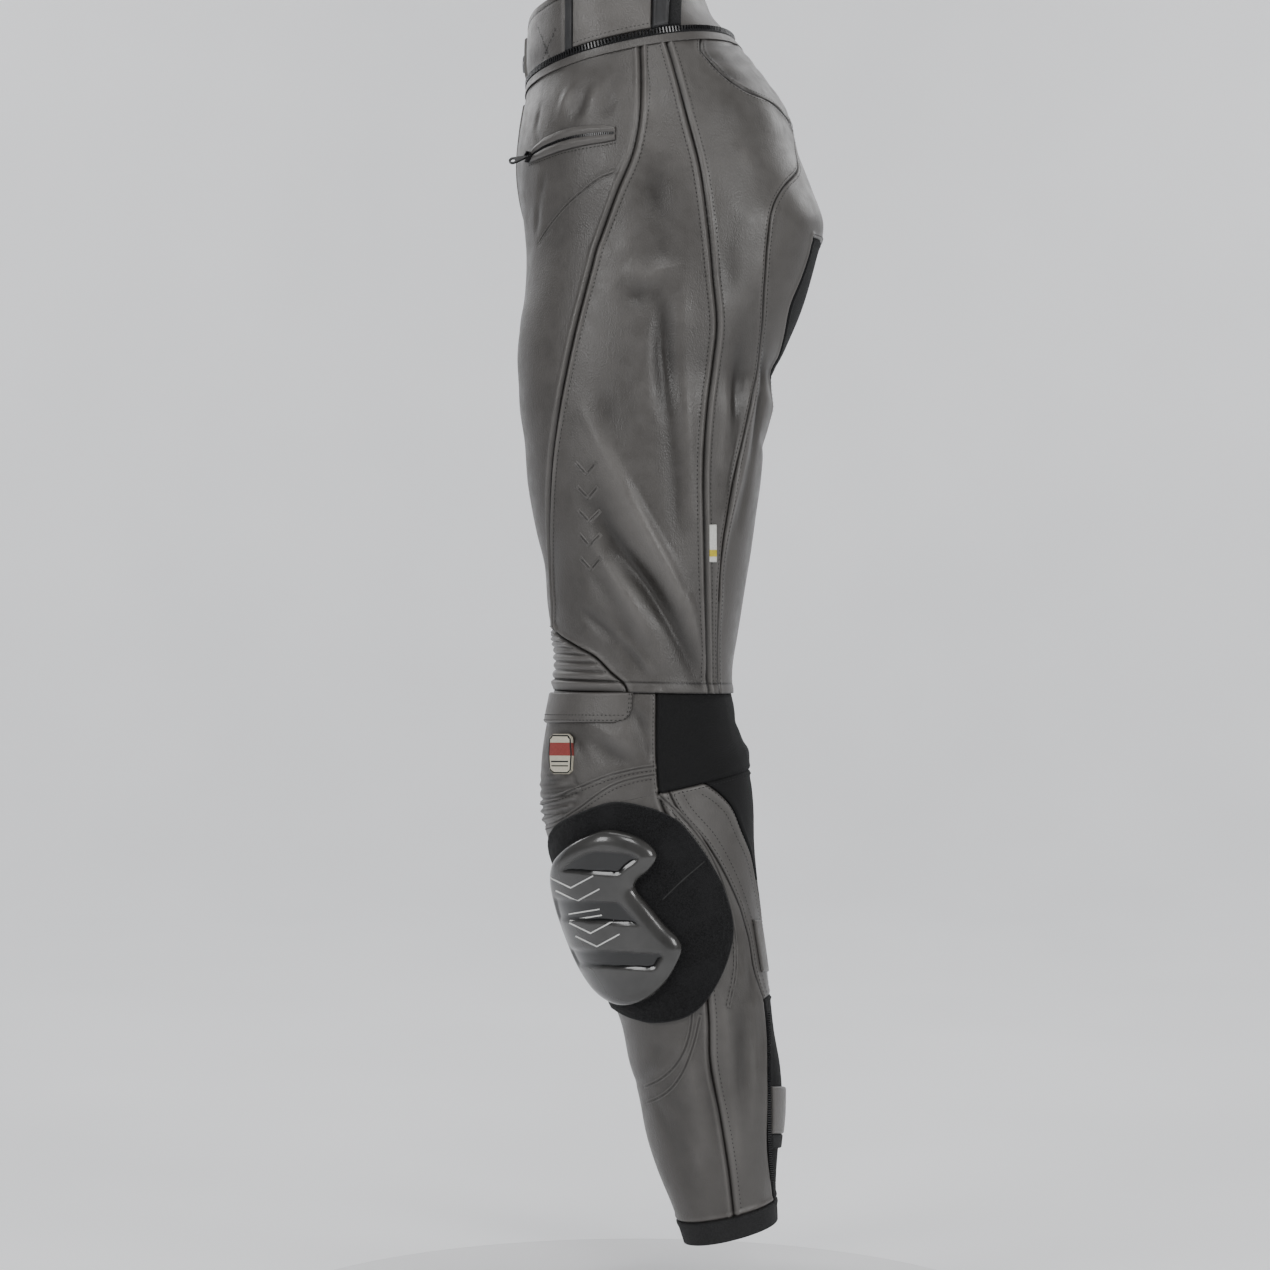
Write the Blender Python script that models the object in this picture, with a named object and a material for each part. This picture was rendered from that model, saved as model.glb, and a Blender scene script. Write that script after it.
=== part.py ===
"""Leather motorcycle trousers in the hollow form they keep when worn, knees slightly bent.

The wearer faces -Y, the wearer's left is +X and +Z is up. The origin is at the middle of the waist,
level with the zip line under the waistband. Tables are in millimetres. Every cloth piece is a wall
on one surface, which runs through the rows of the section table, and its seams are drawn on the
side view, as the eye sees them from 2.6 m away. The left half is made first and the right mirrors it.
"""
import math

import bpy
import numpy as np

MM = 0.001
WALL = 1.6
SEAM_GAP = 0.3
OVERLAY_GAP = 0.9
MIDDLE = SEAM_GAP / 2

EYE = (2600.0, 13.0, -487.0)
VIEW_PLANE_X = 100.0

FRONT, BACK = -math.pi / 2, math.pi / 2

# One row for each section: depth under the waist line, how much the back is higher than the front,
# front and back Y, X of the leg's middle, outer and inner half width, and the power of the oval.
SECTIONS = np.array((
    (-55, 34, -79, 66, 30, 127, 240, 2.2),
    (-38, 35, -80, 74, 30, 128, 240, 2.2),
    (-20, 36, -80, 82, 30, 130, 240, 2.2),
    (-8, 36, -79, 93, 30, 131, 240, 2.2),
    (2, 36, -80, 102, 30, 132, 240, 2.2),
    (32, 38, -85, 125, 38, 134, 220, 2.2),
    (60, 39, -88, 143, 46, 133, 200, 2.2),
    (92, 30, -87, 152, 55, 128, 180, 2.2),
    (124, 28, -82, 164, 64, 121, 165, 2.2),
    (151, 25, -79, 173, 72, 114, 150, 2.2),
    (183, 24, -80, 166, 80, 107, 138, 2.2),
    (217, 17, -84, 155, 86, 102, 124, 2.15),
    (250, 9, -86, 140, 91, 98, 110, 2.1),
    (275, 3, -85, 128, 94, 95, 100, 2.1),
    (298, 0, -84, 127, 96, 94, 95.2, 2.1),
    (323, 1, -80, 122, 97, 93, 92, 2.1),
    (363, 0, -77, 118, 98, 91, 88, 2.1),
    (400, 0, -70, 113, 99, 89, 85, 2.1),
    (427, 0, -63, 109, 100, 87, 83, 2.1),
    (463, 0, -60, 103, 102, 84, 80, 2.1),
    (485, -3, -57, 99, 103, 82, 78, 2.1),
    (512, -4, -53, 95, 104, 79, 76, 2.1),
    (535, -3, -56, 95, 105, 78, 75, 2.1),
    (559, 3, -61, 98, 106, 78, 75, 2.1),
    (581, 14, -65, 103, 107, 78, 75, 2.1),
    (599, 28, -66, 108, 108, 78, 75, 2.1),
    (619, 38, -64, 109, 109, 77, 74, 2.1),
    (648, 33, -57, 112, 110, 75, 72, 2.1),
    (672, 25, -50, 113, 111, 73, 70, 2.1),
    (697, 20, -42, 115, 112, 71, 68, 2.1),
    (743, 22, -24, 119, 114, 68, 65, 2.1),
    (771, 26, -9, 122, 116, 66, 63, 2.1),
    (796, 26, 1, 125, 117, 64, 61, 2.1),
    (829, 25, 8, 129, 119, 61, 58, 2.1),
    (855, 22, 15, 134, 120, 58, 56, 2.1),
    (894, 21, 23, 135, 122, 54, 52, 2.1),
    (923, 18, 32, 132, 123, 51, 49, 2.1),
    (953, 18, 44, 130, 124, 48, 46, 2.1),
    (981, 19, 54, 131, 125, 47, 45, 2.1)))
DEPTHS = SECTIONS[:, 0]
SLOPES = np.gradient(SECTIONS, DEPTHS, axis=0)

# Seams on the side view, (Y, Z) from the top down
FRONT_SEAM = ((17, 13), (18, -24), (17, -50), (11, -82), (0, -114), (-7, -138), (-16, -149),
              (-29, -197), (-42, -251), (-51, -298), (-58, -355), (-59, -404), (-58, -427),
              (-56, -458), (-53, -484), (-37, -496), (-21, -505), (-8, -518), (6, -532), (7, -545))
REAR_SEAM = ((39, 13), (50, -24), (58, -56), (67, -91), (74, -138), (79, -188), (82, -230),
             (79, -259), (74, -298), (71, -355), (72, -420), (73, -468), (75, -545))
SEAT_SEAM = ((68, 4), (86, -16), (109, -32), (126, -39), (141, -54), (148, -80), (149, -98),
             (139, -109), (129, -127), (124, -159), (122, -191), (120, -230), (114, -273),
             (106, -313), (98, -355), (94, -364), (88, -400), (84, -436), (82, -480), (83, -545))
CROTCH_SEAM = ((164, -122), (162, -155), (152, -190), (144, -208), (137, -239), (130, -264))
SHIN_SEAM = ((31, -525), (32, -609), (33, -619), (44, -651), (59, -710), (72, -777), (75, -808),
             (76, -844), (85, -894), (92, -938), (96, -973), (99, -1004))
CALF_SEAM = ((36, -525), (38, -609), (50, -635), (74, -663), (94, -698), (108, -735), (115, -773),
             (121, -794), (124, -819), (125, -869), (125, -920), (128, -950), (131, -1004))
BAND_EDGE = ((41, -525), (43, -600), (59, -606), (79, -616), (94, -631), (102, -650), (110, -671),
             (114, -689))

# Rows of the cloth's grid, by depth
WAIST_DEPTH = 2
YOKE_DEPTH = 74
CROTCH_DEPTH = 168
FORK_DEPTH = 297
ACCORDION_DEPTH = 484
THIGH_HEM_DEPTH = 534
KNEE_HEM_DEPTH = 618
TONGUE_DEPTH = 700
CALF_STRETCH_DEPTH = 799
BINDING_DEPTH = 963
HEM_DEPTH = 981
BACK_THIGH_END = 460
INNER_FRONT_DEPTH = 412
SEAT_LEAVES_DEPTH = 258
SEAT_HIDDEN_DEPTH = 400
SEAT_HIDDEN_DEGREES = 115
BAND_LEAVES_DEPTH = 680
BAND_HIDDEN_DEGREES = (105, 112)
LEAST_DEGREES = 4
BAND_FOOT_DEPTH = 1.0
BAND_ROWS = (-55, -36, -17, BAND_FOOT_DEPTH)
THIGH_ROWS = (WAIST_DEPTH, 26, 50, YOKE_DEPTH, 98, 121, 144, CROTCH_DEPTH, 191, 214, 237,
              SEAT_LEAVES_DEPTH, 275, 288, FORK_DEPTH, 320, 343, 366, 389, INNER_FRONT_DEPTH, 436,
              BACK_THIGH_END, ACCORDION_DEPTH, 509, THIGH_HEM_DEPTH)
SHIN_ROWS = (THIGH_HEM_DEPTH, 555, 576, 597, KNEE_HEM_DEPTH, 638, 659, BAND_LEAVES_DEPTH, TONGUE_DEPTH,
             722, 744, 766, 784, CALF_STRETCH_DEPTH, 814, 831, 850, 870, 894, 917, 940, BINDING_DEPTH,
             HEM_DEPTH)

# Large folds on the side view: line from the top down, width, and height (a trough is below nought)
FOLDS = (
    (((-25, -375), (0, -419), (25, -447), (45, -475), (68, -523)), 9, -5.0),
    (((-23, -327), (12, -383), (40, -431), (60, -484)), 10, 3.5),
    (((38, -210), (36, -250), (40, -297)), 9, -3.5),
    (((105, -227), (101, -268), (95, -315)), 8, -3.0),
    (((103, -791), (104, -840), (102, -885)), 8, -3.0),
    (((35, -850), (48, -890), (60, -925)), 9, -2.0),
)

THIGH_COLUMNS = (3, 4, 4, 3, 4, 3)
SHIN_COLUMNS = (8, 3, 2, 2, 4)

# Knee accordion: ribs raised on the outside only
RIB_ROWS = 10
RIB_COLUMNS = 1
RIB_HEIGHT = 2.4

# Waist: the zip's rows, the band's seam, and the strap's pieces as name, finish, front Y, back Y,
# thickness and columns
ZIP_ROWS = (-3.0, 6.0)
ZIP_COLUMNS = 25
ZIP_THICK = 2.2
ZIP_ENDS_DEGREES = 2
WAISTBAND_SEAM_Y = -45
WAISTBAND_THICK = 3.0
WAISTBAND_COLUMNS = (6, 12)
STRAP_ROWS = (-49, -28, -6)
STRAP_PIECES = (("belt_strap", "leather", -38, 26, 2.6, 9), ("strap_tab", "rubber", 26.6, 40, 4.2, 3),
                ("strap_end", "hook_loop", 40.6, 51, 2.0, 2))
FLY_DEPTHS = (10, 175)
FLY_WIDTHS = (26, 18)
FLY_ROWS = 6
TAB_DEPTHS = (-46, -29, -12)
TAB_WIDTH = 30
FLAP_THICK = 1.8
SNAP_DEPTH = -29
SNAP_RADIUS = 7.5
SNAP_EDGE = 1.6
SNAP_HEIGHT = 2.6
SNAP_BEVEL = 1.5
SNAP_SIDES = 16

# Overlays on the side view, by height Z: Y or, where they pass the front, degrees, at each edge
KNEE_FLAP = ((-535, 11), (-548, 10.5), (-557, 3), (-561, -7))
FLAP_COLUMNS = 18
BADGE_THICK = 1.5
BADGE_COLUMNS = 4
BADGE = ((-570, -54, -42), (-573, -57, -39), (-587, -58, -38), (-601, -57, -39), (-604, -54, -42))

# Outlines on the shin, by degrees round the leg and height Z, clockwise from the upper front corner,
# with the places of their four corners
SLIDER_BASE = ((-62, -648), (-36, -635), (-17, -627), (-1, -631), (12, -641),
               (19, -653), (29, -676), (37, -701), (40, -731), (32, -757),
               (14, -787), (-5, -807), (-29, -813), (-48, -810), (-70, -803),
               (-88, -796), (-98, -770), (-102, -735), (-98, -700), (-84, -668))
BASE_CORNERS = (0, 5, 10, 15)
BASE_CELLS = (11, 9)
SLIDER = ((-54, -667), (-44, -660), (-33, -654), (-22, -650), (-10, -654),
          (-2, -663), (0, -673), (-5, -684), (-12, -692), (-14, -700), (-9, -714), (-3, -730),
          (2, -741), (2, -752), (-5, -767),
          (-16, -781), (-29, -791), (-46, -795), (-62, -791),
          (-76, -780), (-84, -763), (-87, -740), (-86, -714), (-77, -690), (-66, -676))
SLIDER_CORNERS = (0, 5, 15, 19)
SLIDER_CELLS = (8, 11)
MM_PER_DEGREE = 1.25
BASE_GAP = 1.5
BASE_THICK = 2.2
SLIDER_GAP = 0.8
SLIDER_EDGE = 3.0
SLIDER_HEIGHT = 10.5
SLIDER_BEVEL = 12.0
CALF_TAB_Z = (-866, -906)
CALF_TAB_Y = 126
CALF_TAB_END_DEGREES = 150
CALF_TAB_THICK = 2.5
CALF_TAB_CELLS = (2, 7)
LABEL_THICK = 0.8
LABEL = ((-394, 74.5, 81), (-410, 74.5, 81), (-426, 74.5, 81))

# Hip pocket: Y and the heights of its upper and lower edge; the welt's heights across it
POCKET = ((-76, -86, -91), (-70, -76, -88.5), (-62, -69, -85.5), (-50, -63.5, -81), (-38, -60, -78),
          (-25, -58.5, -75.5), (-12, -58.5, -73.5), (-3, -60, -71.5))
WELT_HEIGHTS = (0.9, 1.6, 0.7, 1.6, 0.9)
PULL_PLACE = (-73, -86)
PULL_WAY = (0.05, -0.95, -0.28)
SLIDER_LENGTH = 7.0
SLIDER_BODY = 1.2
PIN_HEIGHT = 1.4
EAR_THICK = 1.1
PULL_ROOT = 3.4
PULL_WIDTH = 7.0
PULL_THICK = 1.6
PULL_HOLE_AT = 12.0
PULL_HOLE = 2.0
PULL_SIDES = 16

LOOKS = {
    "leather": ((0.125, 0.118, 0.112), 0.5, 0.0),
    "stretch": ((0.02, 0.02, 0.021), 0.85, 0.0),
    "hook_loop": ((0.012, 0.012, 0.013), 0.95, 0.0),
    "slider_plastic": ((0.06, 0.06, 0.065), 0.2, 0.0),
    "zip_black": ((0.02, 0.02, 0.02), 0.4, 0.0),
    "rubber": ((0.03, 0.03, 0.03), 0.6, 0.0),
    "metal": ((0.3, 0.3, 0.31), 0.35, 1.0),
    "badge": ((0.7, 0.66, 0.55), 0.6, 0.0),
    "label": ((0.8, 0.8, 0.76), 0.8, 0.0),
    "binding": ((0.035, 0.035, 0.036), 0.8, 0.0),
}


def clear_scene():
    for thing in list(bpy.data.objects):
        bpy.data.objects.remove(thing, do_unlink=True)


def look(name):
    """The material of one finish, made once."""
    found = bpy.data.materials.get(name)
    if found:
        return found
    colour, rough, metallic = LOOKS[name]
    made = bpy.data.materials.new(name)
    made.use_nodes = True
    shader = made.node_tree.nodes["Principled BSDF"]
    shader.inputs["Base Color"].default_value = (*colour, 1.0)
    shader.inputs["Roughness"].default_value = rough
    shader.inputs["Metallic"].default_value = metallic
    return made


def section(depth):
    """Every column of the section table at a depth, on a smooth curve through the rows."""
    depth = np.clip(np.asarray(depth, float), DEPTHS[0], DEPTHS[-1])
    row = np.clip(np.searchsorted(DEPTHS, depth, side="right") - 1, 0, len(DEPTHS) - 2)
    span = (DEPTHS[row + 1] - DEPTHS[row])[..., None]
    t = (depth - DEPTHS[row])[..., None] / span
    return ((2 * t ** 3 - 3 * t ** 2 + 1) * SECTIONS[row]
            + (t ** 3 - 2 * t ** 2 + t) * span * SLOPES[row]
            + (3 * t ** 2 - 2 * t ** 3) * SECTIONS[row + 1]
            + (t ** 3 - t ** 2) * span * SLOPES[row + 1])


def rounded(share, power):
    return np.sign(share) * np.abs(share) ** (2 / power)


def form(depth, angle):
    """The plain outside of the left half: -90 degrees is the front, 0 the outer side, 90 the back."""
    depth, angle = np.broadcast_arrays(np.asarray(depth, float), np.asarray(angle, float))
    tilt, front, back, centre, out, inner, power = np.moveaxis(section(depth), -1, 0)[1:]
    across, along = np.cos(angle), rounded(np.sin(angle), power)
    x = centre + np.where(across > 0, out, inner) * rounded(across, power)
    y = (front + back) / 2 + (back - front) / 2 * along
    z = -depth + tilt / 2 * along
    return np.stack((np.maximum(x, MIDDLE), y, z), axis=-1)


def end_angle(depth):
    """The angle where a section above the fork meets the middle plane, or 180 degrees below it."""
    row = section(depth)
    share = np.clip((row[..., 4] - MIDDLE) / row[..., 6], 0, 1)
    return math.pi - np.arccos(share ** (row[..., 7] / 2))


def seen(points):
    """Y and Z of points as the side view shows them, on the plane of the leg's middle."""
    scale = (EYE[0] - VIEW_PLANE_X) / (EYE[0] - points[..., 0])
    return EYE[1] + (points[..., 1] - EYE[1]) * scale, EYE[2] + (points[..., 2] - EYE[2]) * scale


def halve(low, high, goes_up):
    """Bisection: the place between two bounds where goes_up turns false."""
    for _ in range(32):
        middle = (low + high) / 2
        up = goes_up(middle)
        low, high = np.where(up, middle, low), np.where(up, high, middle)
    return (low + high) / 2


def seam_angle(line, depth):
    """Where a seam of the side view crosses the section at each depth."""
    depth = np.asarray(depth, float)
    y_line, z_line = np.array(line[::-1], float).T

    def before(angle):
        y, z = seen(form(depth, angle))
        return y < np.interp(z, z_line, y_line)

    return halve(np.full(depth.shape, FRONT), np.full(depth.shape, BACK), before)


def depth_at(angle, z):
    """The depth at which the surface, at an angle, is seen at the height z."""
    angle = np.asarray(angle, float)
    low, high = np.full(angle.shape, DEPTHS[0]), np.full(angle.shape, DEPTHS[-1])
    return halve(low, high, lambda depth: seen(form(depth, angle))[1] > z)


def angle_at(depth, y):
    """The angle on the outer side at which a section is seen at the place y."""
    depth = np.asarray(depth, float)
    low, high = np.full(depth.shape, FRONT), np.full(depth.shape, BACK)
    return halve(low, high, lambda angle: seen(form(depth, angle))[0] < y)


def place(y, z):
    """Depth and angle of a point of the side view."""
    angle = np.zeros(np.broadcast(y, z).shape)
    for _ in range(8):
        depth = depth_at(angle, z)
        angle = angle_at(depth, y)
    return depth, angle


def fold_height(y, z):
    """How far the large folds lift or sink the cloth at a point of the side view."""
    total = np.zeros(np.shape(y))
    for line, width, height in FOLDS:
        points = np.array(line, float)
        nearest = np.full(np.shape(y), 1e9)
        share = np.zeros(np.shape(y))
        steps = len(points) - 1
        for k in range(steps):
            start, run = points[k], points[k + 1] - points[k]
            t = np.clip(((y - start[0]) * run[0] + (z - start[1]) * run[1]) / (run @ run), 0, 1)
            gap = np.hypot(y - start[0] - t * run[0], z - start[1] - t * run[1])
            share = np.where(gap < nearest, (k + t) / steps, share)
            nearest = np.minimum(gap, nearest)
        fade = np.sin(math.pi * (0.1 + 0.8 * share))
        total += height * fade * np.exp(-(nearest / width) ** 2)
    return total


def frame_of(depth, angle):
    """Point and outward direction of the cloth at each depth and angle."""
    step_angle, step_depth = 0.01, 1.0
    point = form(depth, angle)
    along = form(depth, angle + step_angle) - form(depth, angle - step_angle)
    down = form(depth + step_depth, angle) - form(depth - step_depth, angle)
    normal = np.cross(down, along)
    length = np.linalg.norm(normal, axis=-1, keepdims=True)
    normal = normal / np.maximum(length, 1e-9)
    return point + normal * fold_height(*seen(point))[..., None], normal


def spread(depths, seams, counts):
    """Angles of a grid's columns: each stretch between two seams is split evenly by length."""
    columns = np.empty((len(depths), sum(counts) + 1))
    for i, depth in enumerate(depths):
        edges = np.array([seam[i] for seam in seams])
        dense = np.linspace(edges[0], edges[-1], 241)
        steps = np.linalg.norm(np.diff(form(depth, dense), axis=0), axis=1)
        run = np.concatenate(((0,), np.cumsum(steps + 1e-6)))
        marks = np.interp(edges, dense, run)
        stops = [np.linspace(marks[k], marks[k + 1], counts[k], endpoint=False)
                 for k in range(len(counts))]
        columns[i] = np.interp(np.concatenate(stops + [marks[-1:]]), run, dense)
    return columns


def make_object(name, points, faces, finish, mirror=False):
    """One solid from points in millimetres."""
    points = np.array(points, float)
    if mirror:
        points = points * (-1, 1, 1)
        faces = [face[::-1] for face in faces]
    mesh = bpy.data.meshes.new(name)
    mesh.from_pydata((points * MM).tolist(), [], [tuple(int(k) for k in face) for face in faces])
    mesh.materials.append(look(finish))
    mesh.shade_smooth()
    mesh.set_sharp_from_angle(angle=math.radians(40))
    made = bpy.data.objects.new(name, mesh)
    bpy.context.collection.objects.link(made)
    return made


def inset_shifts(points, normals, faces, edge_gap):
    """How far each point on an edge of the piece moves along the cloth, for the seam's gap."""
    directed = {}
    for face in faces:
        for a, b in zip(face, face[1:] + face[:1]):
            directed[a, b] = True
    rim = [(a, b) for a, b in directed if (b, a) not in directed]
    pulls = {}
    for a, b in rim:
        run = points[b] - points[a]
        inward = np.cross(normals[a] + normals[b], run)
        inward /= np.linalg.norm(inward)
        pulls.setdefault(a, []).append(inward)
        pulls.setdefault(b, []).append(inward)
    shifts = np.zeros_like(points)
    for k, inward in pulls.items():
        total = sum(inward)
        shifts[k] = edge_gap * total / max(1 + float(inward[0] @ inward[-1]), 0.35)
    return shifts, rim


def wall_piece(name, grid, patches, finish, top=0.0, bottom=-WALL, edge_gap=MIDDLE,
               closed=False, mirror=False):
    """A cut piece: the grid's cells in patches of first row, last row, first and last column.

    Both sides of the wall are cut along the same diagonals, so that a twisted cell keeps its thickness.
    """
    points, normals = grid
    columns = points.shape[1]
    turn = columns - 1 if closed else columns + 1
    cells = sorted({(r, c) for r0, r1, c0, c1 in patches
                    for r in range(r0, r1) for c in range(c0, c1)})
    corners = sorted({(r + i, (c + j) % turn) for r, c in cells for i in (0, 1) for j in (0, 1)})
    number = {corner: k for k, corner in enumerate(corners)}
    faces = [[number[r + i, (c + j) % turn] for i, j in ((0, 0), (1, 0), (1, 1), (0, 1))]
             for r, c in cells]
    index = tuple(np.array(corners).T)
    base, out = points[index], normals[index]
    shifts, rim = inset_shifts(base, out, faces, edge_gap)
    heights = [np.broadcast_to(np.asarray(side, float), points.shape[:2])[index][:, None]
               for side in (top, bottom)]
    outer, inner = (base + shifts + out * height for height in heights)
    count = len(corners)
    solid = []
    for a, b, c, d in faces:
        split = ((a, b, c), (a, c, d))
        if np.linalg.norm(base[a] - base[c]) > np.linalg.norm(base[b] - base[d]):
            split = ((a, b, d), (b, c, d))
        solid += split
        solid += [tuple(count + k for k in reversed(face)) for face in split]
    solid += [(b, a, count + a, count + b) for a, b in rim]
    return make_object(name, np.concatenate((outer, inner)), solid, finish, mirror)


def side_by_side(grid, middle_first):
    """A half's grid joined to its mirror image at the middle plane."""
    points, normals = (np.array(part) for part in grid)
    middle = 0 if middle_first else -1
    points[:, middle, 0] = 0.0
    normals[:, middle, 0] = 0.0
    joined = []
    for part in (points, normals):
        other = (part * (-1, 1, 1))[:, ::-1]
        pair = (other[:, :-1], part) if middle_first else (part, other[:, 1:])
        joined.append(np.concatenate(pair, axis=1))
    return joined


def thigh_grid():
    """The cloth from the waist to the thigh hem, with its seams' columns."""
    depths = np.array(THIGH_ROWS, float)
    end = end_angle(depths)
    front, rear, seat, crotch = (seam_angle(line, depths)
                                 for line in (FRONT_SEAM, REAR_SEAM, SEAT_SEAM, CROTCH_SEAM))
    fade = np.clip((depths - INNER_FRONT_DEPTH) / (ACCORDION_DEPTH - INNER_FRONT_DEPTH), 0, 1)
    inner_front = (1 - fade) * (front - end) / 2 + fade * (-math.pi - front)
    least = math.radians(LEAST_DEGREES)
    seat = np.clip(seat, rear + least, end - 2 * least)
    leaves = THIGH_ROWS.index(SEAT_LEAVES_DEPTH)
    inside = np.interp(depths, (SEAT_LEAVES_DEPTH, SEAT_HIDDEN_DEPTH),
                       (crotch[leaves], math.radians(SEAT_HIDDEN_DEGREES)))
    crotch = np.where(depths > SEAT_LEAVES_DEPTH, inside, crotch)
    crotch = np.where(depths < CROTCH_DEPTH, (seat + end) / 2, crotch)
    crotch = np.clip(crotch, seat + least, end - least)
    seams = (-end, inner_front, front, rear, seat, crotch, end)
    return frame_of(depths[:, None], spread(depths, seams, THIGH_COLUMNS))


def shin_grid():
    """The cloth from the thigh hem to the leg's hem. Its columns start at the inner front seam."""
    depths = np.array(SHIN_ROWS, float)
    outer, calf, band = (seam_angle(line, depths) for line in (SHIN_SEAM, CALF_SEAM, BAND_EDGE))
    start, end = -math.pi - outer, math.pi - outer
    least = math.radians(LEAST_DEGREES)
    calf = np.maximum(calf, outer + least)
    leaves = SHIN_ROWS.index(BAND_LEAVES_DEPTH)
    hidden = np.interp(depths, (BAND_LEAVES_DEPTH, CALF_STRETCH_DEPTH, HEM_DEPTH),
                       (band[leaves], *np.radians(BAND_HIDDEN_DEGREES)))
    band = np.maximum(np.where(depths > BAND_LEAVES_DEPTH, hidden, band), calf + least)
    tongue = np.maximum(math.pi - band, band + 3 * least)
    seams = (start, outer, calf, band, tongue, end)
    return frame_of(depths[:, None], spread(depths, seams, SHIN_COLUMNS))


def thigh_pieces(mirror, side):
    """Thigh, hip and seat panels of one leg, with the ribbed knee accordion."""
    grid = thigh_grid()
    waist, yoke, crotch, back_end, ribs, hem = (THIGH_ROWS.index(depth) for depth in (
        WAIST_DEPTH, YOKE_DEPTH, CROTCH_DEPTH, BACK_THIGH_END, ACCORDION_DEPTH, THIGH_HEM_DEPTH))
    start, inner, front, rear, seat, inside, end = np.cumsum((0,) + THIGH_COLUMNS)
    pieces = {
        "front_thigh": ("leather", ((waist, ribs, start, front), (ribs, hem, start, inner))),
        "side_thigh": ("leather", ((waist, hem, front, rear),)),
        "back_thigh": ("leather", ((waist, back_end, rear, seat),)),
        "seat_panel": ("leather", ((yoke, hem, seat, inside), (yoke, crotch, inside, end),
                                   (back_end, hem, rear, seat))),
        "inner_thigh": ("stretch", ((crotch, hem, inside, end),)),
    }
    for name, (finish, patches) in pieces.items():
        wall_piece(f"{name}_{side}", grid, patches, finish, mirror=mirror)
    points, normals = (part[ribs:hem + 1, inner:front + 1] for part in grid)
    fine = [divided(part, RIB_ROWS, RIB_COLUMNS) for part in (points, normals)]
    rows, columns = fine[0].shape[:2]
    raised = np.zeros((rows, columns))
    raised[1:-1:2, 1:-1] = RIB_HEIGHT
    wall_piece(f"knee_accordion_{side}", fine, ((0, rows - 1, 0, columns - 1),), "leather",
               top=raised, mirror=mirror)


def divided(part, row_share, column_share):
    """A grid with each cell cut into equal shares."""
    rows, columns = part.shape[:2]
    at_row = np.linspace(0, rows - 1, (rows - 1) * row_share + 1)
    at_column = np.linspace(0, columns - 1, (columns - 1) * column_share + 1)
    r = np.minimum(at_row.astype(int), rows - 2)
    c = np.minimum(at_column.astype(int), columns - 2)
    u, v = (at_row - r)[:, None, None], (at_column - c)[None, :, None]
    near, far = part[r][:, c] * (1 - v) + part[r][:, c + 1] * v, part[r + 1][:, c] * (1 - v)
    return near * (1 - u) + (far + part[r + 1][:, c + 1] * v) * u


def shin_pieces(mirror, side):
    """Knee, shin and calf panels of one leg, with the hem binding."""
    grid = shin_grid()
    top, knee, tongue, stretch, binding, hem = (SHIN_ROWS.index(depth) for depth in (
        THIGH_HEM_DEPTH, KNEE_HEM_DEPTH, TONGUE_DEPTH, CALF_STRETCH_DEPTH, BINDING_DEPTH, HEM_DEPTH))
    start, outer, calf, band, inner, end = np.cumsum((0,) + SHIN_COLUMNS)
    pieces = {
        "knee_panel": ("leather", ((top, knee, start, outer),)),
        "knee_back": ("stretch", ((top, knee, outer, end), (knee, tongue, band, inner))),
        "knee_band": ("leather", ((knee, stretch, calf, band),)),
        "shin_panel": ("leather", ((knee, binding, start, outer),)),
        "calf_panel": ("leather", ((knee, binding, outer, calf),)),
        "calf_stretch": ("stretch", ((stretch, binding, calf, band),)),
        "inner_calf": ("leather", ((knee, tongue, inner, end), (tongue, binding, band, end))),
    }
    for name, (finish, patches) in pieces.items():
        wall_piece(f"{name}_{side}", grid, patches, finish, mirror=mirror)
    wall_piece(f"hem_binding_{side}", grid, ((binding, hem, start, end),), "binding",
               top=0.5, bottom=-2.0, closed=True, mirror=mirror)


def patch(heights, left, right, columns):
    """A grid over one stretch of the cloth: a row for each height, between two angles."""
    share = np.linspace(0, 1, columns + 1)
    angles = left[:, None] * (1 - share) + right[:, None] * share
    depths = depth_at(angles, np.broadcast_to(heights[:, None], angles.shape))
    return frame_of(depths, angles)


def outlined(outline, corners, across, down):
    """A grid that fills an outline on the cloth, its edges on the outline's four sides."""
    points = np.array(outline, float)
    count = len(points)
    sides = []
    for first, last, cells in zip(corners, corners[1:] + (count,), (across, down, across, down)):
        t = np.linspace(first, last, 10 * (last - first) + 1)
        k = np.minimum(t.astype(int), last - 1)
        f = (t - k)[:, None]
        before, a, b, after = (points[(k + step) % count] for step in (-1, 0, 1, 2))
        curve = a + f / 2 * (b - before) + f ** 2 * (before - 2.5 * a + 2 * b - after / 2) \
            + f ** 3 / 2 * (after - before + 3 * (a - b))
        steps = np.hypot(np.diff(curve[:, 0]) * MM_PER_DEGREE, np.diff(curve[:, 1]))
        run = np.concatenate(((0,), np.cumsum(steps)))
        stops = np.linspace(0, run[-1], cells + 1)
        sides.append(np.stack([np.interp(stops, run, curve[:, axis]) for axis in (0, 1)], axis=-1))
    top, right, bottom, left = sides[0], sides[1], sides[2][::-1], sides[3][::-1]
    u = np.linspace(0, 1, across + 1)[None, :, None]
    v = np.linspace(0, 1, down + 1)[:, None, None]
    filled = ((1 - v) * top[None] + v * bottom[None] + (1 - u) * left[:, None] + u * right[:, None]
              - (1 - v) * ((1 - u) * top[0] + u * top[-1]) - v * ((1 - u) * bottom[0] + u * bottom[-1]))
    angles = np.radians(filled[..., 0])
    depths = depth_at(angles, filled[..., 1])
    return frame_of(depths, angles)


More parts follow.
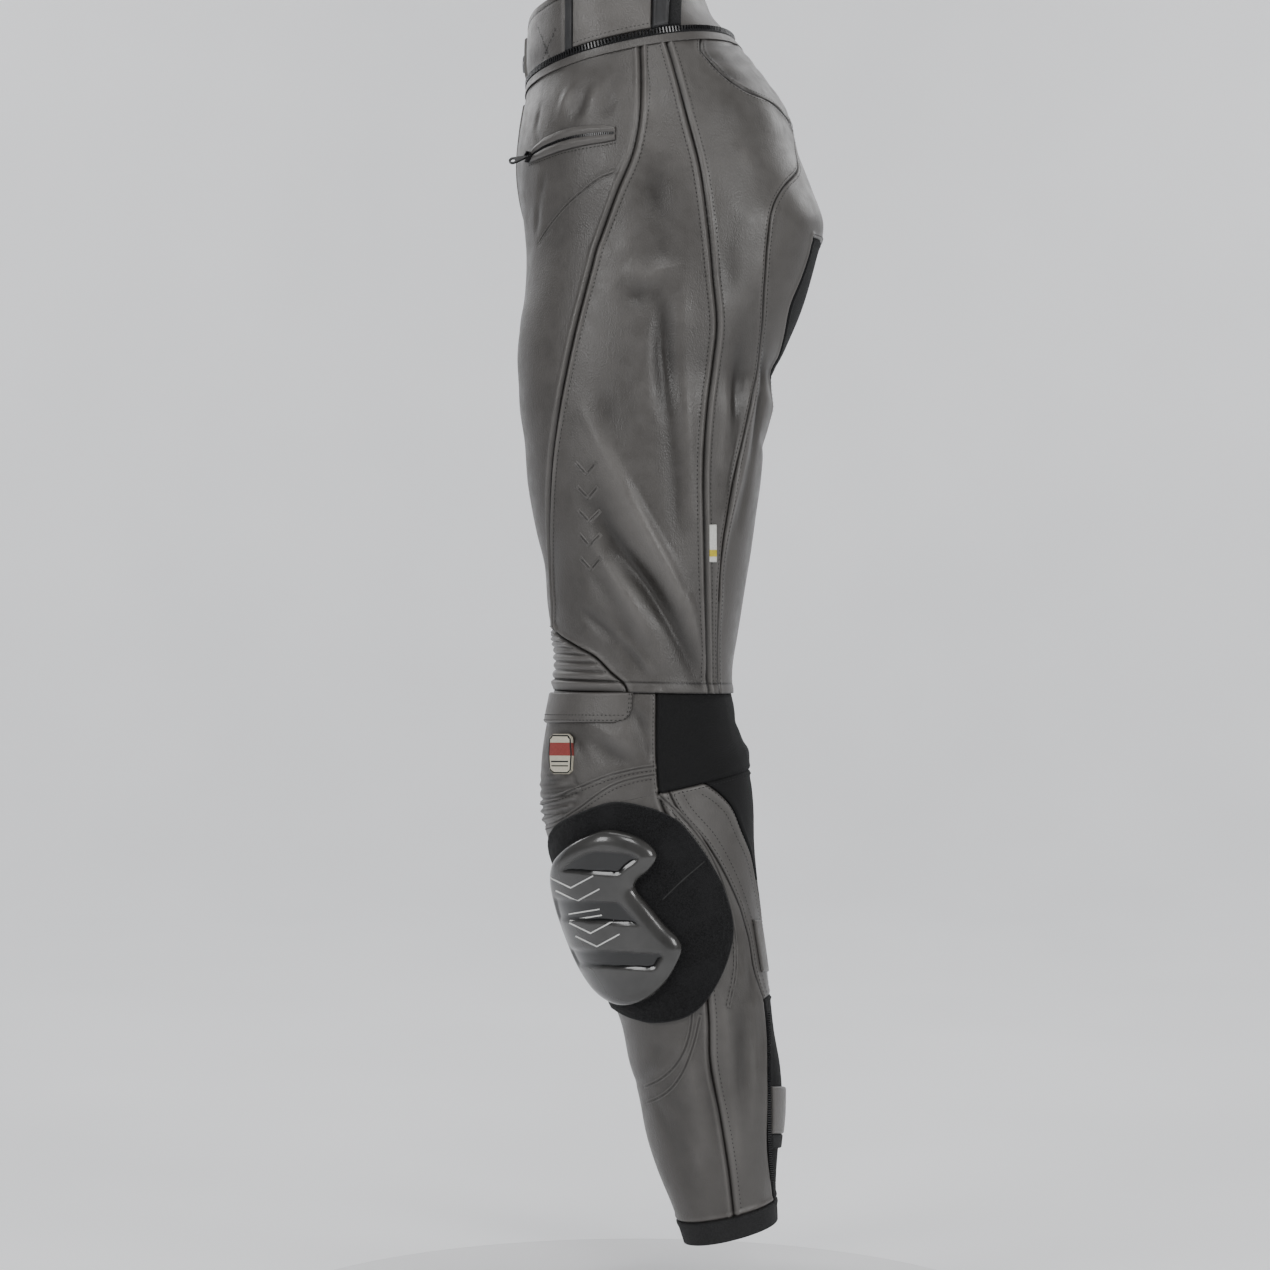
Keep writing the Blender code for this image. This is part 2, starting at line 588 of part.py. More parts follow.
def overlay(name, grid, finish, thick, mirror, lift=OVERLAY_GAP):
    """A piece that lies on the cloth, made from its points, moved out."""
    rows, columns = grid[0].shape[:2]
    wall_piece(name, grid, ((0, rows - 1, 0, columns - 1),), finish, top=lift + thick, bottom=lift,
               edge_gap=0.0, mirror=mirror)


def knee_overlays(mirror, side):
    """Flap, badge, slider base and slider on the knee."""
    z, right = np.array(KNEE_FLAP, float).T
    _, right = place(right, z)
    overlay(f"knee_flap_{side}", patch(z, -math.pi - right, right, FLAP_COLUMNS), "leather", FLAP_THICK,
            mirror)
    z, left, right = np.array(BADGE, float).T
    overlay(f"knee_badge_{side}", patch(z, place(left, z)[1], place(right, z)[1], BADGE_COLUMNS),
            "badge", BADGE_THICK, mirror)
    overlay(f"slider_base_{side}", outlined(SLIDER_BASE, BASE_CORNERS, *BASE_CELLS), "hook_loop",
            BASE_THICK, mirror, BASE_GAP)
    grid = outlined(SLIDER, SLIDER_CORNERS, *SLIDER_CELLS)
    seen_at = np.stack(seen(grid[0]), axis=-1)
    rim = np.concatenate((seen_at[0], seen_at[1:, -1], seen_at[-1, -2::-1], seen_at[-2:0:-1, 0]))
    away = np.full(seen_at.shape[:2], 1e9)
    for a, b in zip(rim, np.roll(rim, -1, axis=0)):
        run, reach = b - a, seen_at - a
        t = np.clip(reach @ run / (run @ run), 0, 1)
        away = np.minimum(away, np.linalg.norm(reach - t[..., None] * run, axis=-1))
    share = np.clip(away / SLIDER_BEVEL, 0, 1)
    floor = BASE_GAP + BASE_THICK + SLIDER_GAP
    top = floor + SLIDER_EDGE + (SLIDER_HEIGHT - SLIDER_EDGE) * np.sqrt(1 - (1 - share) ** 2)
    rows, columns = away.shape
    wall_piece(f"knee_slider_{side}", grid, ((0, rows - 1, 0, columns - 1),), "slider_plastic",
               top=top, bottom=floor, edge_gap=0.0, mirror=mirror)


def waist_overlays(mirror, side):
    """Belt strap with its moulded tab and hook-and-loop end, on the waistband."""
    depths = np.array(STRAP_ROWS, float)
    for name, finish, front, back, thick, columns in STRAP_PIECES:
        ends = [angle_at(depths, np.full(depths.shape, float(y))) for y in (front, back)]
        share = np.linspace(0, 1, columns + 1)
        angles = ends[0][:, None] * (1 - share) + ends[1][:, None] * share
        overlay(f"{name}_{side}", frame_of(depths[:, None], angles), finish, thick, mirror)


def calf_tab(mirror, side):
    """Leather tab over the calf stretch, round the back of the leg."""
    z = np.linspace(*CALF_TAB_Z, CALF_TAB_CELLS[0] + 1)
    left = place(np.full(z.shape, CALF_TAB_Y), z)[1]
    right = np.full(z.shape, math.radians(CALF_TAB_END_DEGREES))
    overlay(f"calf_tab_{side}", patch(z, left, right, CALF_TAB_CELLS[1]), "leather", CALF_TAB_THICK,
            mirror)


def pocket_grid():
    """The hip pocket's welt: rows from its upper to its lower edge, columns from the front back."""
    y, upper, lower = np.array(POCKET, float).T
    share = np.linspace(0, 1, len(WELT_HEIGHTS))[:, None]
    z = upper * (1 - share) + lower * share
    depth, angle = place(np.broadcast_to(y, z.shape), z)
    return frame_of(depth, angle)


def pull_axes():
    """The zip slider's place, and the directions along the pull, out of the cloth and of the pin."""
    depth, angle = place(np.array([PULL_PLACE[0]]), np.array([PULL_PLACE[1]]))
    point, normal = (part[0] for part in frame_of(depth, angle))
    length_way = np.array(PULL_WAY, float)
    length_way /= np.linalg.norm(length_way)
    pin = np.cross(normal, length_way)
    pin /= np.linalg.norm(pin)
    out = OVERLAY_GAP + max(WELT_HEIGHTS) + SEAM_GAP + SLIDER_BODY + PIN_HEIGHT
    return point + normal * out, normal, length_way, pin


def pocket_pieces(mirror, side):
    """Hip pocket welt, its zip slider and the pull that turns on it."""
    grid = pocket_grid()
    rows, columns = grid[0].shape[:2]
    top = OVERLAY_GAP + np.array(WELT_HEIGHTS)[:, None] * np.ones(columns)
    wall_piece(f"pocket_welt_{side}", grid, ((0, rows - 1, 0, columns - 1),), "leather",
               top=top, bottom=OVERLAY_GAP, edge_gap=0.0, mirror=mirror)
    centre, normal, way, pin = pull_axes()
    along = np.cross(pin, normal)
    ear_in = PULL_ROOT / 2 + SEAM_GAP
    ear_out = ear_in + EAR_THICK
    low, floor, high = -PIN_HEIGHT - SLIDER_BODY, -PIN_HEIGHT, PIN_HEIGHT
    outline = ((-ear_out, low), (ear_out, low), (ear_out, high), (ear_in, high), (ear_in, floor),
               (-ear_in, floor), (-ear_in, high), (-ear_out, high))
    points = [centre + pin * w + normal * n + along * t
              for t in (-SLIDER_LENGTH / 2, SLIDER_LENGTH / 2) for w, n in outline]
    count = len(outline)
    caps = ((0, 1, 4, 5), (1, 2, 3, 4), (5, 6, 7, 0))
    faces = [tuple(reversed(cap)) for cap in caps] + [tuple(k + count for k in cap) for cap in caps]
    faces += [(k, (k + 1) % count, (k + 1) % count + count, k + count) for k in range(count)]
    faces = faces if np.dot(np.cross(pin, normal), along) > 0 else [face[::-1] for face in faces]
    make_object(f"pocket_slider_{side}", points, faces, "metal", mirror)
    pocket_pull(mirror, side, centre, way, pin)


def pocket_pull(mirror, side, centre, way, pin):
    """A flat pull with a hole at its end; its origin is on the pin."""
    flat = np.cross(way, pin)
    turns = np.linspace(0, 2 * math.pi, PULL_SIDES, endpoint=False)
    outline = []
    for turn in turns:
        s, w = math.cos(turn), math.sin(turn)
        if s < 0:
            outline.append((PULL_HOLE_AT + s * (PULL_HOLE_AT + PIN_HEIGHT / 2),
                            w * (PULL_ROOT / 2 + (PULL_WIDTH - PULL_ROOT) / 2 * (1 + s))))
        else:
            outline.append((PULL_HOLE_AT + s * PULL_WIDTH / 2, w * PULL_WIDTH / 2))
    hole = [(PULL_HOLE_AT + math.cos(turn) * PULL_HOLE, math.sin(turn) * PULL_HOLE) for turn in turns]
    points = [way * s + pin * w + flat * n
              for n in (-PULL_THICK / 2, PULL_THICK / 2) for ring in (outline, hole) for s, w in ring]
    count = PULL_SIDES
    faces = []
    for k in range(count):
        a, b = k, (k + 1) % count
        faces.append((a, a + count, b + count, b))
        faces.append((a + 2 * count, b + 2 * count, b + 3 * count, a + 3 * count))
        faces.append((a, b, b + 2 * count, a + 2 * count))
        faces.append((a + count, a + 3 * count, b + 3 * count, b + count))
    made = make_object(f"pocket_pull_{side}", points, faces, "metal", mirror)
    place_at = centre * (-1, 1, 1) if mirror else centre
    made.location = [float(k) * MM for k in place_at]


def waist_pieces():
    """Waistband, the zip round its foot, the yoke under it, and the fly."""
    depths = np.array(BAND_ROWS, float)
    end = end_angle(depths)
    seam = seam_angle(((WAISTBAND_SEAM_Y, 90), (WAISTBAND_SEAM_Y, -60)), depths)
    grid = frame_of(depths[:, None], spread(depths, (-end, seam, end), WAISTBAND_COLUMNS))
    rows = len(depths) - 1
    front, half_back = WAISTBAND_COLUMNS
    for side, mirror in (("left", False), ("right", True)):
        wall_piece(f"waistband_front_{side}", grid, ((0, rows, 0, front),), "leather",
                   bottom=-WAISTBAND_THICK, mirror=mirror)
    back = side_by_side([part[:, front:] for part in grid], middle_first=False)
    wall_piece("waistband_back", back, ((0, rows, 0, 2 * half_back),), "leather",
               bottom=-WAISTBAND_THICK)
    ring_depths = np.array(ZIP_ROWS, float)
    end = end_angle(ring_depths)
    opening = -end + math.radians(ZIP_ENDS_DEGREES)
    ring = frame_of(ring_depths[:, None], spread(ring_depths, (opening, end), (ZIP_COLUMNS,)))
    ring = side_by_side(ring, middle_first=False)
    overlay("connection_zip", ring, "zip_black", ZIP_THICK, False)
    yoke = THIGH_ROWS.index(YOKE_DEPTH)
    seat, finish_column = np.cumsum(THIGH_COLUMNS)[[3, 5]]
    half = [part[:yoke + 1, seat:finish_column + 1] for part in thigh_grid()]
    back = side_by_side(half, middle_first=False)
    wall_piece("back_yoke", back, ((0, yoke, 0, back[0].shape[1] - 1),), "stretch")


def front_strip(name, depths, widths, finish, thick, columns):
    """A piece laid across the middle of the front: half its width in X at each depth."""
    depths, widths = np.array(depths, float), np.array(widths, float)
    low, high = -end_angle(depths), np.zeros(depths.shape)
    edge = halve(low, high, lambda angle: form(depths, angle)[..., 0] < widths)
    share = np.linspace(0, 1, columns + 1)
    angles = low[:, None] * (1 - share) + edge[:, None] * share
    half = frame_of(depths[:, None], angles)
    overlay(name, side_by_side(half, middle_first=True), finish, thick, False)


def fastenings():
    """Fly flap, waist tab and its snap, and the side label."""
    fly = np.linspace(*FLY_DEPTHS, FLY_ROWS + 1)
    front_strip("fly_flap", fly, np.interp(fly, FLY_DEPTHS, FLY_WIDTHS), "leather", FLAP_THICK, 2)
    front_strip("waist_tab", TAB_DEPTHS, (TAB_WIDTH,) * len(TAB_DEPTHS), "leather", FLAP_THICK, 3)
    depth, angle = np.array([SNAP_DEPTH], float), np.array([-end_angle(float(SNAP_DEPTH))])
    point, normal = (part[0] for part in frame_of(depth, angle))
    point[0], normal[0] = 0.0, 0.0
    normal /= np.linalg.norm(normal)
    up = np.cross(normal, (1.0, 0.0, 0.0))
    foot = OVERLAY_GAP + FLAP_THICK + SEAM_GAP
    turns = np.linspace(0, 2 * math.pi, SNAP_SIDES, endpoint=False)
    rings = [(SNAP_RADIUS, foot), (SNAP_RADIUS, foot + SNAP_EDGE),
             (SNAP_RADIUS - SNAP_BEVEL, foot + SNAP_HEIGHT)]
    points = [point + normal * height + radius * (np.array((1.0, 0, 0)) * math.cos(t) + up * math.sin(t))
              for radius, height in rings for t in turns]
    count = len(turns)
    faces = [tuple(range(count - 1, -1, -1)), tuple(range(2 * count, 3 * count))]
    faces += [(k + ring * count, (k + 1) % count + ring * count, (k + 1) % count + (ring + 1) * count,
               k + (ring + 1) * count) for ring in (0, 1) for k in range(count)]
    make_object("waist_snap", points, faces, "metal")
    z, left, right = np.array(LABEL, float).T
    overlay("side_label", patch(z, place(left, z)[1], place(right, z)[1], 2), "label", LABEL_THICK,
            False)


def main():
    clear_scene()
    waist_pieces()
    fastenings()
    for side, mirror in (("left", False), ("right", True)):
        thigh_pieces(mirror, side)
        shin_pieces(mirror, side)
        knee_overlays(mirror, side)
        waist_overlays(mirror, side)
        calf_tab(mirror, side)
        pocket_pieces(mirror, side)


if __name__ == "__main__":
    main()
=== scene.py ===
"""Leather motorcycle trousers in worn form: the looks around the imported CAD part.

The wearer faces -Y, the wearer's left is +X and +Z is up. Tables are in millimetres, in the part's own
frame. Each cloth piece is a thin shell on the same surface as its solid, with its creases, seams and
stitches. The left half is made first and the right mirrors it.
"""
import math

import bpy
import numpy as np
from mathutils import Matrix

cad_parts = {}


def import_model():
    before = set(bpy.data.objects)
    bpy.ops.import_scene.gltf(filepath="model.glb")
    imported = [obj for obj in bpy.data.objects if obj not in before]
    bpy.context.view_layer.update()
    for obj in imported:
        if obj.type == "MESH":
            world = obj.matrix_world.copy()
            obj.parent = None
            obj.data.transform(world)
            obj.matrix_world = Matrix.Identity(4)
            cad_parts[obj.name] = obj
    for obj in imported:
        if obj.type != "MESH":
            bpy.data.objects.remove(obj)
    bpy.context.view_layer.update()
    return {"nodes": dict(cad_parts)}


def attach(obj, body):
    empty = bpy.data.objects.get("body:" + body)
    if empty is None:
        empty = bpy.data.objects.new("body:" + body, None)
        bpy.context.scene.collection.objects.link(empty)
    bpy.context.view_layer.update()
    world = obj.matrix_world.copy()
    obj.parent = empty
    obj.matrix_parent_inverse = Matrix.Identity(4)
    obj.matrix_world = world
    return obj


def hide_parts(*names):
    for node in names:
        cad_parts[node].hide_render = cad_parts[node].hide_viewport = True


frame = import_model()

MM = 0.001
EYE = (2600.0, 13.0, -487.0)
VIEW_PLANE_X = 100.0
FRONT, BACK = -math.pi / 2, math.pi / 2
MIDDLE = 0.15
MIDDLE_CLOSE = 0.02
SIDES = (("left", False), ("right", True))

# One row for each section: depth under the waist line, how much the back is higher than the front,
# front and back Y, X of the leg's middle, outer and inner half width, and the power of the oval.
SECTIONS = np.array((
    (-55, 34, -79, 66, 30, 127, 240, 2.2),
    (-38, 35, -80, 74, 30, 128, 240, 2.2),
    (-20, 36, -80, 82, 30, 130, 240, 2.2),
    (-8, 36, -79, 93, 30, 131, 240, 2.2),
    (2, 36, -80, 102, 30, 132, 240, 2.2),
    (32, 38, -85, 125, 38, 134, 220, 2.2),
    (60, 39, -88, 143, 46, 133, 200, 2.2),
    (92, 30, -87, 152, 55, 128, 180, 2.2),
    (124, 28, -82, 164, 64, 121, 165, 2.2),
    (151, 25, -79, 173, 72, 114, 150, 2.2),
    (183, 24, -80, 166, 80, 107, 138, 2.2),
    (217, 17, -84, 155, 86, 102, 124, 2.15),
    (250, 9, -86, 140, 91, 98, 110, 2.1),
    (275, 3, -85, 128, 94, 95, 100, 2.1),
    (298, 0, -84, 127, 96, 94, 95.2, 2.1),
    (323, 1, -80, 122, 97, 93, 92, 2.1),
    (363, 0, -77, 118, 98, 91, 88, 2.1),
    (400, 0, -70, 113, 99, 89, 85, 2.1),
    (427, 0, -63, 109, 100, 87, 83, 2.1),
    (463, 0, -60, 103, 102, 84, 80, 2.1),
    (485, -3, -57, 99, 103, 82, 78, 2.1),
    (512, -4, -53, 95, 104, 79, 76, 2.1),
    (535, -3, -56, 95, 105, 78, 75, 2.1),
    (559, 3, -61, 98, 106, 78, 75, 2.1),
    (581, 14, -65, 103, 107, 78, 75, 2.1),
    (599, 28, -66, 108, 108, 78, 75, 2.1),
    (619, 38, -64, 109, 109, 77, 74, 2.1),
    (648, 33, -57, 112, 110, 75, 72, 2.1),
    (672, 25, -50, 113, 111, 73, 70, 2.1),
    (697, 20, -42, 115, 112, 71, 68, 2.1),
    (743, 22, -24, 119, 114, 68, 65, 2.1),
    (771, 26, -9, 122, 116, 66, 63, 2.1),
    (796, 26, 1, 125, 117, 64, 61, 2.1),
    (829, 25, 8, 129, 119, 61, 58, 2.1),
    (855, 22, 15, 134, 120, 58, 56, 2.1),
    (894, 21, 23, 135, 122, 54, 52, 2.1),
    (923, 18, 32, 132, 123, 51, 49, 2.1),
    (953, 18, 44, 130, 124, 48, 46, 2.1),
    (981, 19, 54, 131, 125, 47, 45, 2.1)))
DEPTHS = SECTIONS[:, 0]
SLOPES = np.gradient(SECTIONS, DEPTHS, axis=0)

# Seams on the side view, (Y, Z) from the top down
FRONT_SEAM = ((17, 13), (18, -24), (17, -50), (11, -82), (-2, -114), (-11, -138), (-17, -155),
              (-29, -197), (-42, -251), (-51, -298), (-58, -355), (-59, -404), (-58, -427),
              (-56, -458), (-53, -484), (-37, -496), (-21, -505), (-8, -518), (6, -532), (7, -545))
REAR_SEAM = ((39, 13), (50, -24), (58, -56), (67, -91), (74, -138), (79, -188), (82, -230),
             (79, -259), (74, -298), (71, -355), (72, -420), (73, -468), (75, -545))
SEAT_SEAM = ((68, 4), (86, -16), (109, -32), (126, -39), (141, -54), (148, -80), (149, -98),
             (139, -109), (129, -127), (124, -159), (122, -191), (120, -230), (114, -273),
             (106, -313), (98, -350), (93, -374), (88, -400), (84, -436), (82, -480), (83, -545))
CROTCH_SEAM = ((164, -122), (162, -155), (152, -190), (144, -208), (137, -239), (130, -264))
SHIN_SEAM = ((31, -525), (32, -609), (33, -619), (44, -651), (59, -710), (72, -777), (75, -808),
             (76, -844), (85, -894), (92, -938), (96, -973), (99, -1004))
CALF_SEAM = ((36, -525), (38, -609), (50, -635), (74, -663), (94, -698), (108, -735), (115, -773),
             (121, -794), (124, -819), (125, -869), (125, -920), (128, -950), (131, -1004))
BAND_EDGE = ((41, -525), (43, -600), (59, -606), (79, -616), (94, -631), (102, -650), (110, -671),
             (114, -689))

WAIST_DEPTH = 2
YOKE_DEPTH = 74
CROTCH_ROW_ABOVE = 144
CROTCH_DEPTH = 168
SEAT_LEAVES_DEPTH = 258
SEAT_HIDDEN_DEPTH = 400
SEAT_HIDDEN_DEGREES = 115
INNER_FRONT_DEPTH = 412
BACK_THIGH_END = 460
ACCORDION_DEPTH = 484
THIGH_HEM_DEPTH = 534
KNEE_HEM_DEPTH = 618
BAND_LEAVES_DEPTH = 680
BAND_HIDDEN_DEGREES = (105, 112)
TONGUE_DEPTH = 700
CALF_STRETCH_DEPTH = 799
BINDING_DEPTH = 963
HEM_DEPTH = 981
BAND_TOP_DEPTH = -55
BAND_FOOT_DEPTH = 1.0
LEAST_DEGREES = 4

# Fine grids: the depths or seams where cells are cut closer, and the cells between them
THIGH_MARKS = (WAIST_DEPTH, YOKE_DEPTH, CROTCH_DEPTH, BACK_THIGH_END, ACCORDION_DEPTH, THIGH_HEM_DEPTH)
THIGH_ROWS = (34, 46, 150, 16, 32)
THIGH_COLUMNS = (44, 42, 72, 30, 36, 38)
SHIN_MARKS = (THIGH_HEM_DEPTH, KNEE_HEM_DEPTH, TONGUE_DEPTH, CALF_STRETCH_DEPTH, BINDING_DEPTH, HEM_DEPTH)
SHIN_ROWS = (42, 44, 48, 78, 10)
SHIN_COLUMNS = (110, 18, 24, 18, 50)
SEAM_CLOSENESS = 0.72

CLOTH_THICK = 1.4
BAND_THICK = 2.6
OVERLAY_GAP = 0.9

# The large folds of the solids on the side view: line from the top down, width, and height
FOLDS = (
    (((-25, -375), (0, -419), (25, -447), (45, -475), (68, -523)), 9, -5.0),
    (((-23, -327), (12, -383), (40, -431), (60, -484)), 10, 3.5),
    (((38, -210), (36, -250), (40, -297)), 9, -3.5),
    (((105, -227), (101, -268), (95, -315)), 8, -3.0),
    (((103, -791), (104, -840), (102, -885)), 8, -3.0),
    (((35, -850), (48, -890), (60, -925)), 9, -2.0),
)

# Finer creases on the outer side, in the same columns
CREASES = (
    (((-35, -292), (-5, -343), (20, -390), (37, -422), (54, -456), (66, -503)), 5.5, 2.6),
    (((-24, -370), (3, -416), (28, -452), (50, -490), (66, -524)), 6.5, -3.6),
    (((-28, -402), (2, -446), (20, -478), (42, -520)), 6, 3.0),
    (((-36, -462), (-14, -482), (11, -505), (25, -525)), 5, -2.4),
    (((-26, -430), (-6, -462), (8, -488), (24, -508)), 4.5, -1.4),
    (((8, -350), (34, -402), (52, -446), (64, -480)), 5, -1.8),
    (((56, -448), (64, -482), (72, -520)), 4, 1.8),
    (((-4, -484), (14, -500), (30, -524)), 3.5, 1.5),
    (((33, -196), (38, -250), (43, -310), (47, -360), (50, -410)), 8, -3.0),
    (((53, -240), (56, -300), (60, -360), (64, -400)), 7, 1.8),
    (((18, -236), (22, -280), (26, -330)), 10, 1.2),
    (((-20, -270), (-8, -300), (4, -330)), 8, -1.2),
    (((101, -252), (100, -292), (95, -334)), 5, -2.6),
    (((108, -262), (103, -308), (94, -356), (88, -392)), 3.5, -2.2),
    (((118, -246), (112, -296), (104, -344), (92, -392), (85, -436)), 3.5, 2.0),
    (((124, -226), (120, -286), (108, -356), (98, -404)), 5, -2.8),
    (((92, -262), (90, -310), (86, -352)), 4.5, 1.6),
    (((80, -404), (84, -436), (82, -480), (80, -512)), 3.5, 1.1),
    (((28, -84), (30, -112), (34, -148), (38, -178)), 14, -3.2),
    (((-2, -190), (16, -202), (38, -196)), 9, -2.2),
    (((-26, -160), (-8, -166), (14, -152)), 9, 1.2),
    (((6, -176), (24, -186), (42, -172)), 7, 1.6),
    (((52, -180), (52, -220), (50, -256)), 8, 1.4),
    (((-36, -18), (-44, -36), (-52, -56)), 4.5, 2.0),
    (((-24, -20), (-32, -40), (-42, -60)), 4, -1.8),
    (((-14, -18), (-24, -40), (-30, -58)), 5, 1.6),
    (((0, -16), (-6, -34), (-14, -54)), 5, -1.4),
    (((22, -24), (26, -50), (26, -80)), 7, 1.2),
    (((-66, -40), (-70, -62), (-66, -84)), 4, -1.2),
    (((-62, -96), (-68, -124), (-70, -154)), 5, -1.4),
    (((90, -60), (104, -80), (118, -110)), 9, 1.0),
    (((96, -130), (92, -170), (92, -210)), 9, -1.2),
    (((128, -120), (120, -156), (116, -200)), 7, 1.0),
    (((44, -820), (58, -850), (66, -884), (70, -936)), 6, 1.8),
    (((60, -800), (72, -840), (78, -884), (84, -940)), 5, -1.6),
    (((86, -790), (92, -840), (96, -890), (102, -950)), 5, 1.6),
    (((112, -780), (113, -840), (111, -905)), 4, 1.4),
    (((104, -716), (110, -760), (112, -800)), 5, -1.4),
    (((24, -866), (38, -898), (52, -935), (64, -962)), 6, -1.4),
    (((34, -830), (24, -850), (8, -866)), 6, -1.8),
    (((60, -826), (46, -846), (28, -858)), 4, 1.4),
    (((40, -880), (58, -910), (74, -950)), 5, 1.3),
    (((-44, -566), (-20, -580), (4, -592), (26, -594)), 6, -2.0),
    (((-30, -560), (-4, -572), (16, -584)), 6, 1.8),
    (((10, -545), (20, -566), (26, -594)), 5, -2.2),
    (((-52, -568), (-36, -578), (-26, -598)), 4, -1.6),
    (((-16, -548), (2, -560), (8, -582)), 5, 1.2),
)

# Creases on the hidden sides, by degrees round the leg and height Z: 90 is the back, 180 the inner side
ROUND_CREASES = (
    (((58, -255), (85, -268), (118, -258)), 9, -2.6),
    (((62, -280), (88, -296), (122, -284)), 8, 1.6),
    (((70, -318), (98, -330), (128, -312)), 7, -1.5),
    (((-158, -262), (-128, -232), (-104, -216)), 7, -2.0),
    (((-160, -285), (-130, -266), (-100, -256)), 7, 1.5),
    (((-160, -306), (-134, -300), (-106, -304)), 6, -1.3),
    (((-120, -150), (-100, -196), (-92, -240)), 8, 1.2),
    (((175, -300), (182, -350), (176, -400)), 8, -1.6),
    (((150, -330), (160, -380), (168, -440)), 6, 1.2),
    (((-168, -400), (-150, -445), (-128, -480)), 7, -1.6),
    (((-160, -440), (-140, -482), (-118, -512)), 5, 1.1),
    (((186, -440), (178, -480), (170, -522)), 6, -1.4),
    (((110, -440), (124, -480), (130, -524)), 6, 1.0),
    (((80, -556), (112, -566), (150, -556)), 5, -1.6),
    (((78, -578), (116, -590), (152, -578)), 5, 1.2),
    (((82, -602), (118, -616), (150, -602)), 5, -1.5),
    (((90, -636), (120, -644), (140, -634)), 5, 0.9),
    (((186, -560), (196, -592), (190, -622)), 6, -1.2),
    (((160, -700), (170, -760), (164, -820)), 7, -1.4),
    (((140, -740), (146, -800), (150, -870)), 6, 1.1),
    (((200, -800), (196, -860), (190, -930)), 6, -1.2),
    (((176, -850), (180, -900), (184, -950)), 5, 0.9),
)
CREASE_REACH = 3.0
CREASE_GAIN = 1.25
WAVES = 14
WAVE_HEIGHT = 0.30
WAVE_LENGTHS = (34.0, 120.0)
SEED = 11

# Profiles across a seam: offset from it, height and width of each soft ridge or groove
PROFILES = {
    "piped": ((3.6, 1.25, 1.5), (0.0, -0.9, 1.8), (0.0, -0.5, 0.7)),
    "sewn": ((0.0, -1.0, 0.9), (3.0, 0.45, 2.0)),
    "lapped": ((0.0, -1.2, 1.1), (2.6, 0.8, 1.9)),
    "stitch": ((0.0, -0.3, 0.8),),
    "soft": ((0.0, -0.7, 2.6),),
    "rib": ((0.0, 1.5, 2.0), (4.0, -0.8, 1.6)),
}
SEAM_REACH = 11.0

# Tooled lines: across them, how far each point is from the middle, its height and its share of painted groove
# shade
TOOLED = ((-2.3, -0.25, 0.0), (-1.3, 0.55, 0.0), (-0.55, 0.3, 0.9), (0.0, 0.1, 1.0), (0.55, 0.3, 0.9),
          (1.3, 0.55, 0.0), (2.3, -0.25, 0.0))
TOOLED_STEP = 1.5

# Lines on the panels, drawn on the side view
DART = ((-3, -98), (-16, -103), (-30, -113), (-45, -126), (-59, -143), (-68, -158))
KNEE_LOW = ((-63, -647), (-52, -643), (-37, -634), (-20, -622), (-5, -613), (14, -607), (31, -604))
KNEE_LOW_UPPER = ((-64, -626), (-50, -622), (-39, -617), (-24, -611), (-8, -605), (12, -600), (31, -597))
KNEE_RIBS = ((-605, 9), (-612, 13), (-619, 15), (-626, 14), (-633, 12), (-640, 8))
LOWER_CURVES = (((61, -800), (60, -815), (52, -841), (42, -854), (31, -862), (20, -867)),
                ((68, -806), (62, -831), (52, -856), (42, -869), (32, -876), (22, -880)))
BAND_INNER = ((33, -621), (50, -637), (72, -664), (88, -698), (97, -735), (98, -770), (92, -800))
THIGH_CHEVRONS = ((-28, -352), (-27, -372), (-26, -392), (-25, -412), (-24, -432))
CHEVRON_SIZE = (9, 10)

# Knee accordion
RIB_COUNT = 10
RIB_HEIGHT = 2.6
RIB_GROWTH = 0.75

# Overlays, as in the solids
KNEE_FLAP = ((-535, 11.5), (-549, 11), (-555, 8.5), (-559, 4), (-561, -5))
FLAP_THICK = 1.8
BADGE = ((-570, -54, -42), (-573, -57, -39), (-587, -58, -38), (-601, -57, -39), (-604, -54, -42))
BADGE_THICK = 1.5
SLIDER_BASE = ((-62, -648), (-36, -635), (-17, -627), (-1, -631), (12, -641),
               (19, -653), (29, -676), (37, -701), (40, -731), (32, -757),
               (14, -787), (-5, -807), (-29, -813), (-48, -810), (-70, -803),
               (-88, -796), (-98, -770), (-102, -735), (-98, -700), (-84, -668))
BASE_CORNERS = (0, 5, 10, 15)
BASE_CELLS = (90, 80)
SLIDER = ((-54, -667), (-44, -660), (-33, -654), (-22, -650), (-10, -654),
          (-2, -663), (0, -673), (-5, -684), (-12, -692), (-14, -700), (-9, -714), (-3, -730),
          (2, -741), (2, -752), (-5, -767),
          (-16, -781), (-29, -791), (-46, -795), (-62, -791),
          (-76, -780), (-84, -763), (-87, -740), (-86, -714), (-77, -690), (-66, -676))
SLIDER_CORNERS = (0, 5, 15, 19)
SLIDER_CELLS = (80, 110)
MM_PER_DEGREE = 1.25
BASE_GAP = 1.5
BASE_THICK = 2.2
BASE_LINE = ((36, -709), (52, -693), (70, -677))
SLIDER_GAP = 0.8
SLIDER_EDGE = 3.0
SLIDER_HEIGHT = 10.5
SLIDER_BEVEL = 12.0
SLIDER_BANDS = ((-665, -685), (-706, -725), (-746, -761))
BAND_DEPTH = 1.7
BAND_INSET = 11.0
BAND_WALL = 2.2
SLIDER_CHEVRONS = ((-30, -695), (-25, -706), (-14, -733), (-9, -744))
SLIDER_CHEVRON_SIZE = (15, 9)
SLIDER_BARS = (((-31, -717), (-10, -714)), ((-29, -722), (-8, -719)))
LINE_WIDTH = 1.1
LINE_END = 0.4
PRINT_LIFT = 0.15
RIM_REACH = 60.0
